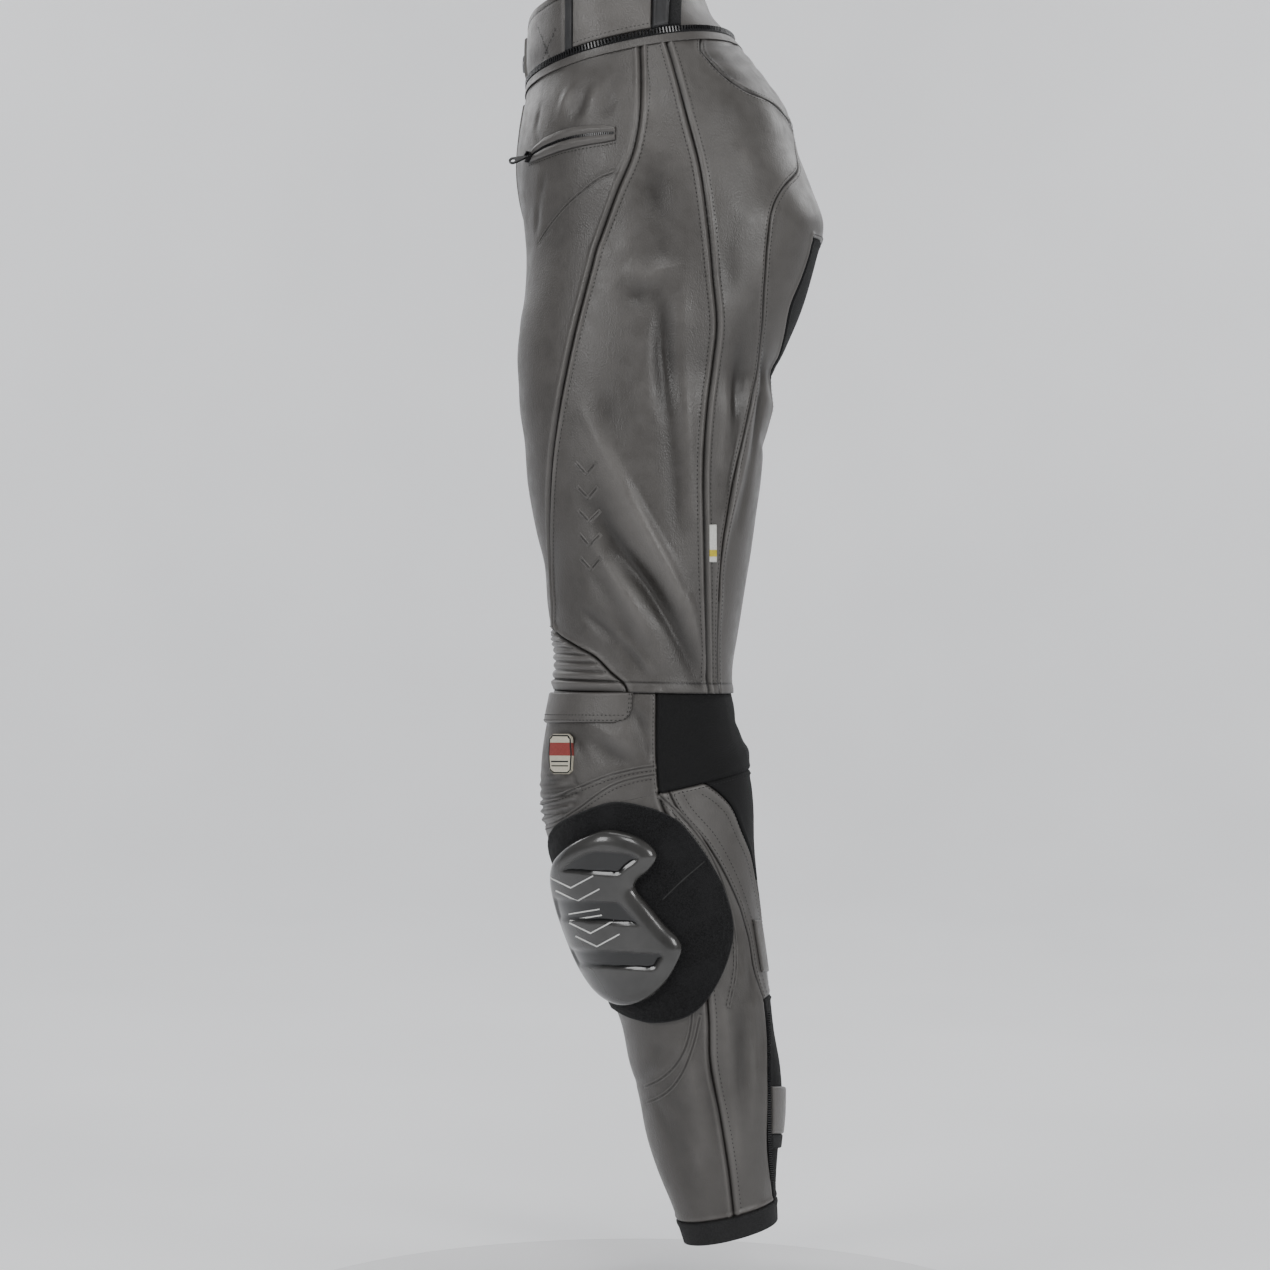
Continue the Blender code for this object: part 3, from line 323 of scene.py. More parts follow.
CALF_TAB_Z = (-866, -906)
CALF_TAB_Y = 126
CALF_TAB_END_DEGREES = 150
CALF_TAB_THICK = 2.5
LABEL = ((-394, 74.5, 81), (-410, 74.5, 81), (-426, 74.5, 81))
LABEL_THICK = 0.8
ZIP_ROWS = (-3.0, 6.0)
ZIP_ENDS_DEGREES = 2
ZIP_LIFT = 1.4
LEG_ZIP_LIFT = 0.9
ZIP_DARK_ROWS = 2
TOOTH_PITCH = 2.9
TOOTH = (1.5, 4.6, 1.6)
WAISTBAND_SEAM_Y = -45
STRAP_DEPTHS = (-49, -6)
STRAP_PIECES = (("belt_strap", "leather", -38, 26, 2.6), ("strap_tab", "rubber", 26.6, 40, 4.2),
                ("strap_end", "hook_loop", 40.6, 51, 2.0))
FLY_DEPTHS = (10, 175)
FLY_WIDTHS = (26, 18)
TAB_DEPTHS = (-46, -12)
TAB_WIDTH = 30
SNAP_DEPTH = -29
SNAP_RADIUS = 7.5
SNAP_HEIGHT = 2.6
SNAP_GAP = 0.3
SNAP_TURNS = 48
STRIP_COLUMNS = 40
STRIP_THICK = 1.8
POCKET = ((-76, -86, -91), (-70, -76, -88.5), (-62, -69, -85.5), (-50, -63.5, -81), (-38, -60, -78),
          (-25, -58.5, -75.5), (-12, -58.5, -73.5), (-3, -60, -71.5))
WELT_HEIGHTS = (0.9, 1.6, 0.7, 1.6, 0.9)

# Stitches
STITCH_PITCH = 3.6
STITCH = (2.6, 0.7, 0.5)

# The cut of each piece that shows: width and length of the sheet and its flat area, in metres
CUTS = {
    "waistband_front": (0.152, 0.064, 0.0087), "waistband_back": (0.546, 0.064, 0.0315),
    "back_yoke": (0.335, 0.145, 0.0262), "front_thigh": (0.245, 0.560, 0.101),
    "side_thigh": (0.163, 0.560, 0.058), "back_thigh": (0.143, 0.500, 0.026),
    "seat_panel": (0.190, 0.520, 0.044), "inner_thigh": (0.167, 0.400, 0.048),
    "knee_accordion": (0.219, 0.090, 0.010), "knee_panel": (0.286, 0.110, 0.0275),
    "knee_back": (0.245, 0.180, 0.0248), "knee_band": (0.060, 0.200, 0.0082),
    "shin_panel": (0.286, 0.358, 0.081), "calf_panel": (0.064, 0.365, 0.0157),
    "calf_stretch": (0.059, 0.170, 0.0088), "inner_calf": (0.119, 0.370, 0.0258),
    "hem_binding": (0.290, 0.020, 0.0054), "knee_flap": (0.239, 0.038, 0.0069),
    "knee_badge": (0.037, 0.043, 0.0012), "slider_base": (0.203, 0.192, 0.0302),
    "belt_strap": (0.077, 0.053, 0.0037), "strap_end": (0.023, 0.059, 0.0010),
    "fly_flap": (0.055, 0.165, 0.0079), "waist_tab": (0.063, 0.041, 0.0024),
    "side_label": (0.011, 0.034, 0.00035), "calf_tab": (0.106, 0.046, 0.0045),
    "calf_tab_binding": (0.096, 0.016, 0.00146), "pocket_welt": (0.107, 0.022, 0.0021),
    "zip_garage": (0.032, 0.048, 0.0012), "connection_zip_tape": (0.870, 0.010, 0.0082),
}
# What each overlay lies on
UNDER = {
    "knee_flap": "knee_panel", "knee_badge": "knee_panel", "slider_base": "shin_panel",
    "belt_strap": "waistband_front", "strap_end": "belt_strap", "side_label": "back_thigh",
    "calf_tab": "calf_stretch", "calf_tab_binding": "calf_stretch", "pocket_welt": "front_thigh",
    "zip_garage": "calf_panel", "fly_flap": "front_thigh_left_cloth",
    "waist_tab": "waistband_front_left_cloth", "connection_zip_tape": "waistband_back_cloth",
}

# Camera and stage, in metres
PHOTO_SIDE = 1270
MM_PER_PIXEL = 0.84
SENSOR = 36.0
FLOOR_Z = -1.06
DISC_RADIUS = 0.34
DISC_EDGE = 0.004
DISC_CENTRE = (0.11, 0.013)
WALL_X = -4.2
WALL_ROUND = 0.9
WALL_TOP = 5.0
FLOOR_FRONT = 6.0
FLOOR_HALF_WIDTH = 8.0
FLOOR_GLOW = 0.30
SKY_STRENGTH = 0.17
TARGET = (0.1, 0.03, -0.5)
# Name, place, target, size and power of each light
LIGHTS = (
    ("key_left", (2.2, -2.2, 0.7), TARGET, 1.2, 38),
    ("key_right", (2.1, 2.3, 0.5), TARGET, 1.1, 40),
    ("front_high", (2.4, 0.2, 1.9), TARGET, 1.1, 27),
    ("top", (0.2, 0.0, 2.2), TARGET, 1.4, 20),
    ("inner_side", (-1.4, -0.9, 0.9), TARGET, 1.2, 7),
    ("back_side", (-1.2, 1.2, 0.9), TARGET, 1.2, 7),
    ("backdrop_left", (-2.4, -2.6, 1.6), (-4.2, -0.4, -0.3), 1.4, 34),
    ("backdrop_right", (-2.4, 2.6, 1.6), (-4.2, 0.4, -0.3), 1.4, 34),
)


def smooth(place_at, stops_at, values, slopes, k):
    """Values between table rows k and k + 1, on the curve with the rows' slopes."""
    span = (stops_at[k + 1] - stops_at[k])[..., None]
    t = (place_at - stops_at[k])[..., None] / span
    return ((2 * t ** 3 - 3 * t ** 2 + 1) * values[k] + (t ** 3 - 2 * t ** 2 + t) * span * slopes[k]
            + (3 * t ** 2 - 2 * t ** 3) * values[k + 1] + (t ** 3 - t ** 2) * span * slopes[k + 1])


def section(depth):
    """Every column of the section table at a depth, on a smooth curve through the rows."""
    depth = np.clip(np.asarray(depth, float), DEPTHS[0], DEPTHS[-1])
    row = np.clip(np.searchsorted(DEPTHS, depth, side="right") - 1, 0, len(DEPTHS) - 2)
    return smooth(depth, DEPTHS, SECTIONS, SLOPES, row)


def rounded(share, power):
    """The oval's share of its half width."""
    return np.sign(share) * np.abs(share) ** (2 / power)


def form(depth, angle):
    """The plain outside of the left half: -90 degrees is the front, 0 the outer side, 90 the back."""
    depth, angle = np.broadcast_arrays(np.asarray(depth, float), np.asarray(angle, float))
    tilt, front, back, centre, out, inner, power = np.moveaxis(section(depth), -1, 0)[1:]
    across, along = np.cos(angle), rounded(np.sin(angle), power)
    x = centre + np.where(across > 0, out, inner) * rounded(across, power)
    y = (front + back) / 2 + (back - front) / 2 * along
    z = -depth + tilt / 2 * along
    return np.stack((np.maximum(x, MIDDLE), y, z), axis=-1)


def end_angle(depth):
    """The angle where a section above the fork meets the middle plane, or 180 degrees below it."""
    row = section(depth)
    share = np.clip((row[..., 4] - MIDDLE) / row[..., 6], 0, 1)
    return math.pi - np.arccos(share ** (row[..., 7] / 2))


def seen(points):
    """Y and Z of points as the side view shows them, on the plane of the leg's middle."""
    scale = (EYE[0] - VIEW_PLANE_X) / (EYE[0] - points[..., 0])
    return EYE[1] + (points[..., 1] - EYE[1]) * scale, EYE[2] + (points[..., 2] - EYE[2]) * scale


def halve(low, high, goes_up):
    """Bisection: the place between two bounds where goes_up turns false."""
    for _ in range(26):
        middle = (low + high) / 2
        up = goes_up(middle)
        low, high = np.where(up, middle, low), np.where(up, high, middle)
    return (low + high) / 2


def seam_angle(line, depth):
    """Where a seam of the side view crosses the section at each depth."""
    depth = np.asarray(depth, float)
    y_line, z_line = dense(line[::-1], 3.0).T
    z_line = np.maximum.accumulate(z_line)

    def before(angle):
        y, z = seen(form(depth, angle))
        return y < np.interp(z, z_line, y_line)

    return halve(np.full(depth.shape, FRONT), np.full(depth.shape, BACK), before)


def depth_at(angle, z):
    """The depth at which the surface, at an angle, is seen at the height z."""
    angle = np.asarray(angle, float)
    low, high = np.full(angle.shape, DEPTHS[0]), np.full(angle.shape, DEPTHS[-1])
    return halve(low, high, lambda depth: seen(form(depth, angle))[1] > z)


def angle_at(depth, y):
    """The angle on the outer side at which a section is seen at the place y."""
    depth = np.asarray(depth, float)
    low, high = np.full(depth.shape, FRONT), np.full(depth.shape, BACK)
    return halve(low, high, lambda angle: seen(form(depth, angle))[0] < y)


def place(y, z):
    """Depth and angle of a point of the side view."""
    angle = np.zeros(np.broadcast(y, z).shape)
    for _ in range(6):
        depth = depth_at(angle, z)
        angle = angle_at(depth, y)
    return depth, angle


def near(points, line, reach):
    """Distance from each point to a line, and the share of the line at the nearest place."""
    flat = points.reshape(-1, points.shape[-1])
    gap = np.full(len(flat), float(reach))
    share = np.zeros(len(flat))
    steps = len(line) - 1
    for k in range(steps):
        start, run = line[k], line[k + 1] - line[k]
        low, high = np.minimum(start, start + run) - reach, np.maximum(start, start + run) + reach
        close = np.flatnonzero(((flat > low) & (flat < high)).all(axis=1))
        reached = flat[close] - start
        t = np.clip(reached @ run / (run @ run), 0, 1)
        distance = np.linalg.norm(reached - t[:, None] * run, axis=1)
        better = distance < gap[close]
        gap[close[better]] = distance[better]
        share[close[better]] = (k + t[better]) / steps
    return gap.reshape(points.shape[:-1]), share.reshape(points.shape[:-1])


def run_along(points):
    """Distance from the first point to each point of a line."""
    return np.concatenate(((0,), np.cumsum(np.linalg.norm(np.diff(points, axis=0), axis=1))))


def dense(line, step=4.0):
    """A line through points on the side view or round the leg, with more points on a smooth curve."""
    points = np.array(line, float)
    run = run_along(points)
    slopes = np.gradient(points, run, axis=0)
    at = np.linspace(0, run[-1], max(int(run[-1] / step), 2) + 1)
    k = np.clip(np.searchsorted(run, at, side="right") - 1, 0, len(points) - 2)
    return smooth(at, run, points, slopes, k)


def folds(points):
    """How far the solids' large folds lift or sink the cloth."""
    y, z = seen(points)
    flat = np.stack((y, z), axis=-1)
    total = np.zeros(y.shape)
    for line, width, height in FOLDS:
        gap, share = near(flat, np.array(line, float), CREASE_REACH * width)
        gap = np.where(gap >= CREASE_REACH * width - 1e-6, 1e3, gap)
        total += height * np.sin(math.pi * (0.1 + 0.8 * share)) * np.exp(-(gap / width) ** 2)
    return total


def lifted(depth, angle, lift=0.0):
    """Points at a height over the folded form, and their normals."""
    point, _, _, normal = metric(depth, angle)
    return point + normal * (folds(point) + lift)[..., None], normal


def around(line):
    """Depth and angle of a line given by degrees round the leg and height."""
    points = dense(line)
    angle = np.radians(points[:, 0])
    return depth_at(angle, points[:, 1]), angle


def sideways(line):
    """Depth and angle of a line given on the side view."""
    points = dense(line)
    return place(points[:, 0], points[:, 1])


def resampled(line, step):
    """The same line of the surface with even steps."""
    depth, angle = line
    lengths = np.linalg.norm(np.diff(form(depth, angle), axis=0), axis=1)
    run = np.concatenate(((0,), np.cumsum(lengths + 1e-6)))
    at = np.linspace(0, run[-1], max(int(run[-1] / step), 2) + 1)
    return np.interp(at, run, depth), np.interp(at, run, angle)


def across_front(line):
    """A line of the side view carried over the front to the inner side."""
    depth, angle = sideways(line)
    both = np.concatenate((depth[::-1], depth)), np.concatenate((angle[::-1], -math.pi - angle))
    return resampled(both, 4.0)


def metric(depth, angle):
    """The surface's directions down and round, and its outward normal."""
    point = form(depth, angle)
    down = (form(depth + 1.0, angle) - form(depth - 1.0, angle)) / 2
    turn = (form(depth, angle + 0.01) - form(depth, angle - 0.01)) / 0.02
    normal = np.cross(down, turn)
    normal /= np.maximum(np.linalg.norm(normal, axis=-1, keepdims=True), 1e-9)
    return point, down, turn, normal


def beside(line, offset):
    """A line on the surface at a distance beside another, to its left seen from outside."""
    depth, angle = line
    point, down, turn, normal = metric(depth, angle)
    tangent = np.gradient(point, axis=0)
    tangent /= np.maximum(np.linalg.norm(tangent, axis=-1, keepdims=True), 1e-9)
    way = np.cross(normal, tangent) * offset
    dd, dt, tt = (down * down).sum(-1), (down * turn).sum(-1), (turn * turn).sum(-1)
    wd, wt = (way * down).sum(-1), (way * turn).sum(-1)
    scale = np.maximum(dd * tt - dt * dt, 1e-9)
    return depth + (wd * tt - wt * dt) / scale, angle + (wt * dd - wd * dt) / scale


class Relief:
    """Creases, seams and waves of one half, as heights over the plain form."""

    def __init__(self):
        random = np.random.default_rng(SEED)
        self.seams = []
        self.creases = []
        for table, way in ((CREASES, sideways), (ROUND_CREASES, around)):
            for line, width, height in table:
                self.creases.append((form(*way(line)), width, height, random.uniform(0, 6.28)))
        lengths = random.uniform(*WAVE_LENGTHS, WAVES)
        directions = random.normal(size=(WAVES, 3)) * (1.0, 1.0, 0.55)
        directions /= np.linalg.norm(directions, axis=1, keepdims=True)
        self.waves = directions * (2 * math.pi / lengths)[:, None]
        self.phases = random.uniform(0, 2 * math.pi, WAVES)

    def add(self, line, kind):
        """One more seam, with its profile."""
        self.seams.append((form(*line), kind))

    def heights(self, points):
        """Total height, and how near a seam or stitch row each point is, from 0 to 1."""
        soft = folds(points)
        for line, width, height, phase in self.creases:
            gap, share = near(points, line, CREASE_REACH * width)
            gap = np.where(gap >= CREASE_REACH * width - 1e-6, 1e3, gap)
            uneven = 0.8 + 0.3 * np.sin(9 * share + phase)
            ends = np.sin(math.pi * share) ** 0.7
            soft += CREASE_GAIN * height * uneven * ends * np.exp(-(gap / width) ** 2)
        soft += WAVE_HEIGHT * np.sin(points @ self.waves.T + self.phases).sum(-1) / math.sqrt(WAVES)
        sewn = np.zeros(soft.shape)
        nearness = np.zeros(soft.shape)
        for line, kind in self.seams:
            gap, share = near(points, line, SEAM_REACH)
            inside = gap < SEAM_REACH - 1e-6
            for offset, height, width in PROFILES[kind]:
                sewn += np.where(inside, height * np.exp(-((gap - offset) / width) ** 2), 0)
            # Nearness to a seam line: the mark for the painted shade in its groove.
            nearness = np.maximum(nearness, np.where(inside, np.exp(-(gap / 1.4) ** 2), 0))
        return soft, np.clip(sewn, -1.6, 2.0), nearness


def clustered(low, high, count):
    """Places between two ends, closer together near the ends."""
    t = np.linspace(0, 1, count, endpoint=False)
    return low + (high - low) * (t - SEAM_CLOSENESS * np.sin(2 * math.pi * t) / (2 * math.pi))


def stops(low, high, count):
    """The same places with the far end added."""
    return np.append(clustered(low, high, count), high)


def fine_rows(marks, counts):
    """Grid rows with closer cells near each mark."""
    parts = [clustered(marks[k], marks[k + 1], counts[k]) for k in range(len(counts))]
    return np.concatenate(parts + [np.array(marks[-1:], float)])


def spread(depths, seams, counts):
    """Angles of a grid's columns between the seams, closer together near each seam."""
    columns = np.empty((len(depths), sum(counts) + 1))
    for i, depth in enumerate(depths):
        edges = np.array([seam[i] for seam in seams])
        turns = np.linspace(edges[0], edges[-1], 361)
        steps = np.linalg.norm(np.diff(form(depth, turns), axis=0), axis=1)
        run = np.concatenate(((0,), np.cumsum(steps + 1e-6)))
        marks = np.interp(edges, turns, run)
        columns[i] = np.interp(fine_rows(marks, counts), run, turns)
    return columns


def between(first, last, columns):
    """Angles of a grid's columns between two edges."""
    u = stops(0.0, 1.0, columns)
    return first[:, None] * (1 - u) + last[:, None] * u


def thigh_seams(depths):
    """Angles of the thigh's seams at each depth."""
    end = end_angle(depths)
    front, rear, seat, crotch = (seam_angle(line, depths)
                                 for line in (FRONT_SEAM, REAR_SEAM, SEAT_SEAM, CROTCH_SEAM))
    fade = np.clip((depths - INNER_FRONT_DEPTH) / (ACCORDION_DEPTH - INNER_FRONT_DEPTH), 0, 1)
    inner_front = (1 - fade) * (front - end) / 2 + fade * (-math.pi - front)
    least = math.radians(LEAST_DEGREES)
    seat = np.clip(seat, rear + least, end - 2 * least)
    leaves = float(seam_angle(CROTCH_SEAM, np.array([float(SEAT_LEAVES_DEPTH)]))[0])
    hidden = np.interp(depths, (SEAT_LEAVES_DEPTH, SEAT_HIDDEN_DEPTH),
                       (leaves, math.radians(SEAT_HIDDEN_DEGREES)))
    crotch = np.where(depths > SEAT_LEAVES_DEPTH, hidden, crotch)
    above = np.clip((CROTCH_DEPTH - depths) / (CROTCH_DEPTH - CROTCH_ROW_ABOVE), 0, 1)
    crotch = crotch * (1 - above) + (seat + end) / 2 * above
    crotch = np.clip(crotch, seat + least, end - least)
    return -end, inner_front, front, rear, seat, crotch, end


def shin_seams(depths):
    """Angles of the lower leg's seams at each depth, from the inner front seam round to it again."""
    outer, calf, band = (seam_angle(line, depths) for line in (SHIN_SEAM, CALF_SEAM, BAND_EDGE))
    start, end = -math.pi - outer, math.pi - outer
    least = math.radians(LEAST_DEGREES)
    calf = np.maximum(calf, outer + least)
    leaves = float(seam_angle(BAND_EDGE, np.array([float(BAND_LEAVES_DEPTH)]))[0])
    hidden = np.interp(depths, (BAND_LEAVES_DEPTH, CALF_STRETCH_DEPTH, HEM_DEPTH),
                       (leaves, *np.radians(BAND_HIDDEN_DEGREES)))
    band = np.maximum(np.where(depths > BAND_LEAVES_DEPTH, hidden, band), calf + least)
    tongue = np.maximum(math.pi - band, band + 3 * least)
    return start, outer, calf, band, tongue, end


def seam_line(seams, number, depths, top, foot):
    """Depths and angles along one of the seams, between two depths."""
    inside = (depths >= top) & (depths <= foot)
    return depths[inside], seams[number][inside]


def level_line(seams, depth, first, last, depths, points=40):
    """A seam that runs round at one depth, between two of the seams that run down."""
    at = int(np.argmin(abs(depths - depth)))
    angle = np.linspace(seams[first][at], seams[last][at], points)
    return np.full(points, float(depth)), angle


LEATHER_ROUGH = (0.34, 0.48)
FABRIC_ROUGH = 0.85
PILE_ROUGH = 0.96


def nodes_of(name, rough=0.6):
    """A new material with its node tree, shader and object coordinates."""
    made = bpy.data.materials.new(name)
    made.use_nodes = True
    tree = made.node_tree
    shader = tree.nodes["Principled BSDF"]
    shader.inputs["Roughness"].default_value = rough
    place_node = tree.nodes.new("ShaderNodeTexCoord")
    return made, tree, shader, place_node.outputs["Object"]


def texture(tree, kind, vector, scale, stretch=(1, 1, 1), **settings):
    """A procedural texture at a scale for each metre."""
    mapping = tree.nodes.new("ShaderNodeMapping")
    mapping.inputs["Scale"].default_value = [scale * s for s in stretch]
    tree.links.new(vector, mapping.inputs["Vector"])
    made = tree.nodes.new(f"ShaderNodeTex{kind}")
    made.inputs["Scale"].default_value = 1.0
    tree.links.new(mapping.outputs["Vector"], made.inputs["Vector"])
    for key, value in settings.items():
        made.inputs[key].default_value = value
    return made


def ramp(tree, source, low, high, at=(0.3, 0.7)):
    """A smooth change between two colours or greys."""
    made = tree.nodes.new("ShaderNodeValToRGB")
    for element, place_at, colour in zip(made.color_ramp.elements, at, (low, high)):
        element.position = place_at
        element.color = (*colour, 1.0)
    tree.links.new(source, made.inputs["Fac"])
    return made.outputs["Color"]


def mixed(tree, share, first, second, kind="MIX"):
    """Two colours mixed by a share, which may be a number or an output."""
    made = tree.nodes.new("ShaderNodeMix")
    made.data_type = "RGBA"
    made.blend_type = kind
    for key, value in (("Factor", share), ("A", first), ("B", second)):
        wanted = "VALUE" if key == "Factor" else "RGBA"
        socket = [s for s in made.inputs if s.name == key and s.type == wanted][0]
        if isinstance(value, bpy.types.NodeSocket):
            tree.links.new(value, socket)
        else:
            socket.default_value = value if key == "Factor" else (*value, 1.0)
    return [s for s in made.outputs if s.type == "RGBA"][0]


def attribute(tree, name):
    """A mark stored on the mesh's points."""
    made = tree.nodes.new("ShaderNodeAttribute")
    made.attribute_name = name
    return made.outputs["Fac"]


def bumped(tree, shader, layers):
    """Bumps on top of each other: source, strength and distance in metres."""
    normal = None
    for source, strength, distance in layers:
        made = tree.nodes.new("ShaderNodeBump")
        made.inputs["Strength"].default_value = strength
        made.inputs["Distance"].default_value = distance
        tree.links.new(source, made.inputs["Height"])
        if normal is not None:
            tree.links.new(normal, made.inputs["Normal"])
        normal = made.outputs["Normal"]
    tree.links.new(normal, shader.inputs["Normal"])


def leather(name, dark, light, grain=0.4):
    """Grained leather: pebbles, fine creases, painted highlights on ridges, painted shade in troughs and
    seams.
    """
    made, tree, shader, where = nodes_of(name)
    broad = texture(tree, "Noise", where, 9, Detail=3.0).outputs["Fac"]
    mottle = texture(tree, "Noise", where, 90, Detail=4.0).outputs["Fac"]
    pebbles = texture(tree, "Voronoi", where, 900, (1, 1, 0.62), Randomness=1.0)
    wrinkles = texture(tree, "Noise", where, 420, (1, 1, 0.3), Detail=3.0, Roughness=0.6).outputs["Fac"]
    lit, deep = np.array(light), np.array(dark)
    colour = ramp(tree, broad, tuple(deep * 0.5 + lit * 0.5), light, (0.3, 0.7))
    colour = mixed(tree, 0.22, colour, ramp(tree, mottle, dark, light, (0.3, 0.7)))
    # Painted light: the relief mark paints shade into troughs and highlights onto ridges.
    wear_and_painted_light = ramp(tree, attribute(tree, "relief"), (0.34, 0.33, 0.32), (1.22, 1.22, 1.22), (0.06, 0.92))
    colour = mixed(tree, 1.0, colour, wear_and_painted_light, "MULTIPLY")
    # Painted shade: the seam mark darkens seam grooves, tooled grooves and the contact edges of overlays.
    groove = ramp(tree, attribute(tree, "seam"), (1.0, 1.0, 1.0), (0.38, 0.37, 0.36), (0.35, 0.95))
    colour = mixed(tree, 1.0, colour, groove, "MULTIPLY")
    tree.links.new(colour, shader.inputs["Base Color"])
    gloss = ramp(tree, mottle, *((rough,) * 3 for rough in LEATHER_ROUGH), (0.3, 0.7))
    tree.links.new(gloss, shader.inputs["Roughness"])
    shader.inputs["Specular IOR Level"].default_value = 0.42
    bumped(tree, shader, ((wrinkles, grain * 0.8, 0.0006), (pebbles.outputs["Distance"], grain, 0.0004)))
    return made


def fabric(name, dark, light, scale, strength=0.5):
    """Woven or knitted cloth: two crossing waves and a little fluff."""
    made, tree, shader, where = nodes_of(name, FABRIC_ROUGH)
    across = texture(tree, "Wave", where, scale, Distortion=0.6, Detail=1.0)
    across.bands_direction = "Z"
    along = texture(tree, "Wave", where, scale, Distortion=0.6, Detail=1.0)
    along.bands_direction = "DIAGONAL"
    fluff = texture(tree, "Noise", where, 700, Detail=3.0).outputs["Fac"]
    weave = mixed(tree, 0.5, across.outputs["Color"], along.outputs["Color"])
    colour = ramp(tree, weave, dark, light, (0.2, 0.8))
    colour = mixed(tree, 0.3, colour, ramp(tree, fluff, dark, light, (0.4, 0.6)))
    # Painted shade: the seam mark darkens seam grooves and the contact edges of overlays.
    groove = ramp(tree, attribute(tree, "seam"), (1.0, 1.0, 1.0), (0.55, 0.55, 0.55), (0.35, 0.95))
    tree.links.new(mixed(tree, 1.0, colour, groove, "MULTIPLY"), shader.inputs["Base Color"])
    shader.inputs["Specular IOR Level"].default_value = 0.3
    bumped(tree, shader, ((weave, strength, 0.0005), (fluff, strength * 0.6, 0.0004)))
    return made


def pile(name, dark, light):
    """Hook-and-loop pile: short tangled loops with lighter worn places."""
    made, tree, shader, where = nodes_of(name, PILE_ROUGH)
    loops = texture(tree, "Noise", where, 1300, Detail=2.0, Distortion=1.5).outputs["Fac"]
    clumps = texture(tree, "Noise", where, 130, Detail=4.0).outputs["Fac"]
    wear_and_painted_light = texture(tree, "Noise", where, 22, Detail=4.0).outputs["Fac"]
    colour = ramp(tree, loops, dark, light, (0.4, 0.62))
    colour = mixed(tree, ramp(tree, wear_and_painted_light, (0, 0, 0), (0.7, 0.7, 0.7), (0.5, 0.75)), colour, light)
    tree.links.new(colour, shader.inputs["Base Color"])
    shader.inputs["Specular IOR Level"].default_value = 0.15
    shader.inputs["Sheen Weight"].default_value = 0.1
    bumped(tree, shader, ((clumps, 0.6, 0.0012), (loops, 0.9, 0.0008)))
    return made


def hard(name, colour, rough, metallic=0.0, coat=0.0, marks=0.25, deep=False):
    """Moulded plastic, rubber or metal with fine scuffs."""
    made, tree, shader, where = nodes_of(name, rough)
    scuffs = texture(tree, "Noise", where, 260, (1, 1, 0.25), Detail=5.0).outputs["Fac"]
    broad = texture(tree, "Noise", where, 35, Detail=2.0).outputs["Fac"]
    base = np.array(colour)
    shade = ramp(tree, broad, tuple(base * 0.8), tuple(np.minimum(base * 1.2, 1)), (0.3, 0.7))
    gloss = ramp(tree, scuffs, (rough * (1 - marks),) * 3, (min(rough * (1 + 2 * marks), 1),) * 3)
    if deep:
        sunk = attribute(tree, "seam")
        shade = mixed(tree, sunk, shade, (0.0012, 0.0012, 0.0012))
        gloss = mixed(tree, sunk, gloss, (0.06, 0.06, 0.06))
    tree.links.new(shade, shader.inputs["Base Color"])
    tree.links.new(gloss, shader.inputs["Roughness"])
    shader.inputs["Metallic"].default_value = metallic
    shader.inputs["Coat Weight"].default_value = coat
    shader.inputs["Coat Roughness"].default_value = 0.05
    bumped(tree, shader, ((scuffs, 0.015, 0.0003),))
    return made


LOOKS = {
    "leather": leather("leather", (0.054, 0.050, 0.047), (0.108, 0.102, 0.096)),
    "leather_smooth": leather("leather_smooth", (0.064, 0.060, 0.056), (0.112, 0.106, 0.100), grain=0.25),
    "stretch": fabric("stretch", (0.003, 0.003, 0.003), (0.0085, 0.0085, 0.009), 620),
    "yoke": leather("yoke", (0.044, 0.041, 0.039), (0.094, 0.089, 0.085)),
    "binding": fabric("binding", (0.010, 0.010, 0.010), (0.030, 0.030, 0.031), 480, strength=0.7),
    "hook_loop": pile("hook_loop", (0.002, 0.002, 0.002), (0.018, 0.018, 0.019)),
    "slider": hard("slider", (0.040, 0.039, 0.037), 0.24, coat=0.3, marks=0.06, deep=True),
    "zip_tape": fabric("zip_tape", (0.004, 0.004, 0.004), (0.012, 0.012, 0.013), 560),
    "teeth": hard("teeth", (0.012, 0.012, 0.013), 0.22),
    "metal": hard("metal", (0.16, 0.16, 0.165), 0.3, metallic=1.0),
    "dark_metal": hard("dark_metal", (0.025, 0.025, 0.026), 0.28, metallic=0.5),
    "worn_line": hard("worn_line", (0.016, 0.016, 0.016), 0.9),
    "rubber": hard("rubber", (0.020, 0.020, 0.021), 0.55),
    "badge": fabric("badge", (0.46, 0.43, 0.34), (0.66, 0.62, 0.50), 900, strength=0.4),
    "badge_red": fabric("badge_red", (0.22, 0.04, 0.035), (0.34, 0.07, 0.06), 900, strength=0.4),
    "badge_edge": fabric("badge_edge", (0.01, 0.01, 0.01), (0.03, 0.03, 0.03), 900, strength=0.4),
    "label": fabric("label", (0.50, 0.50, 0.46), (0.72, 0.72, 0.68), 1200, strength=0.3),
    "label_yellow": fabric("label_yellow", (0.45, 0.36, 0.03), (0.62, 0.50, 0.06), 1200, strength=0.3),
    "thread": fabric("thread", (0.010, 0.010, 0.010), (0.035, 0.034, 0.033), 2500, strength=0.4),
    "white_line": hard("white_line", (0.62, 0.62, 0.60), 0.4),
}


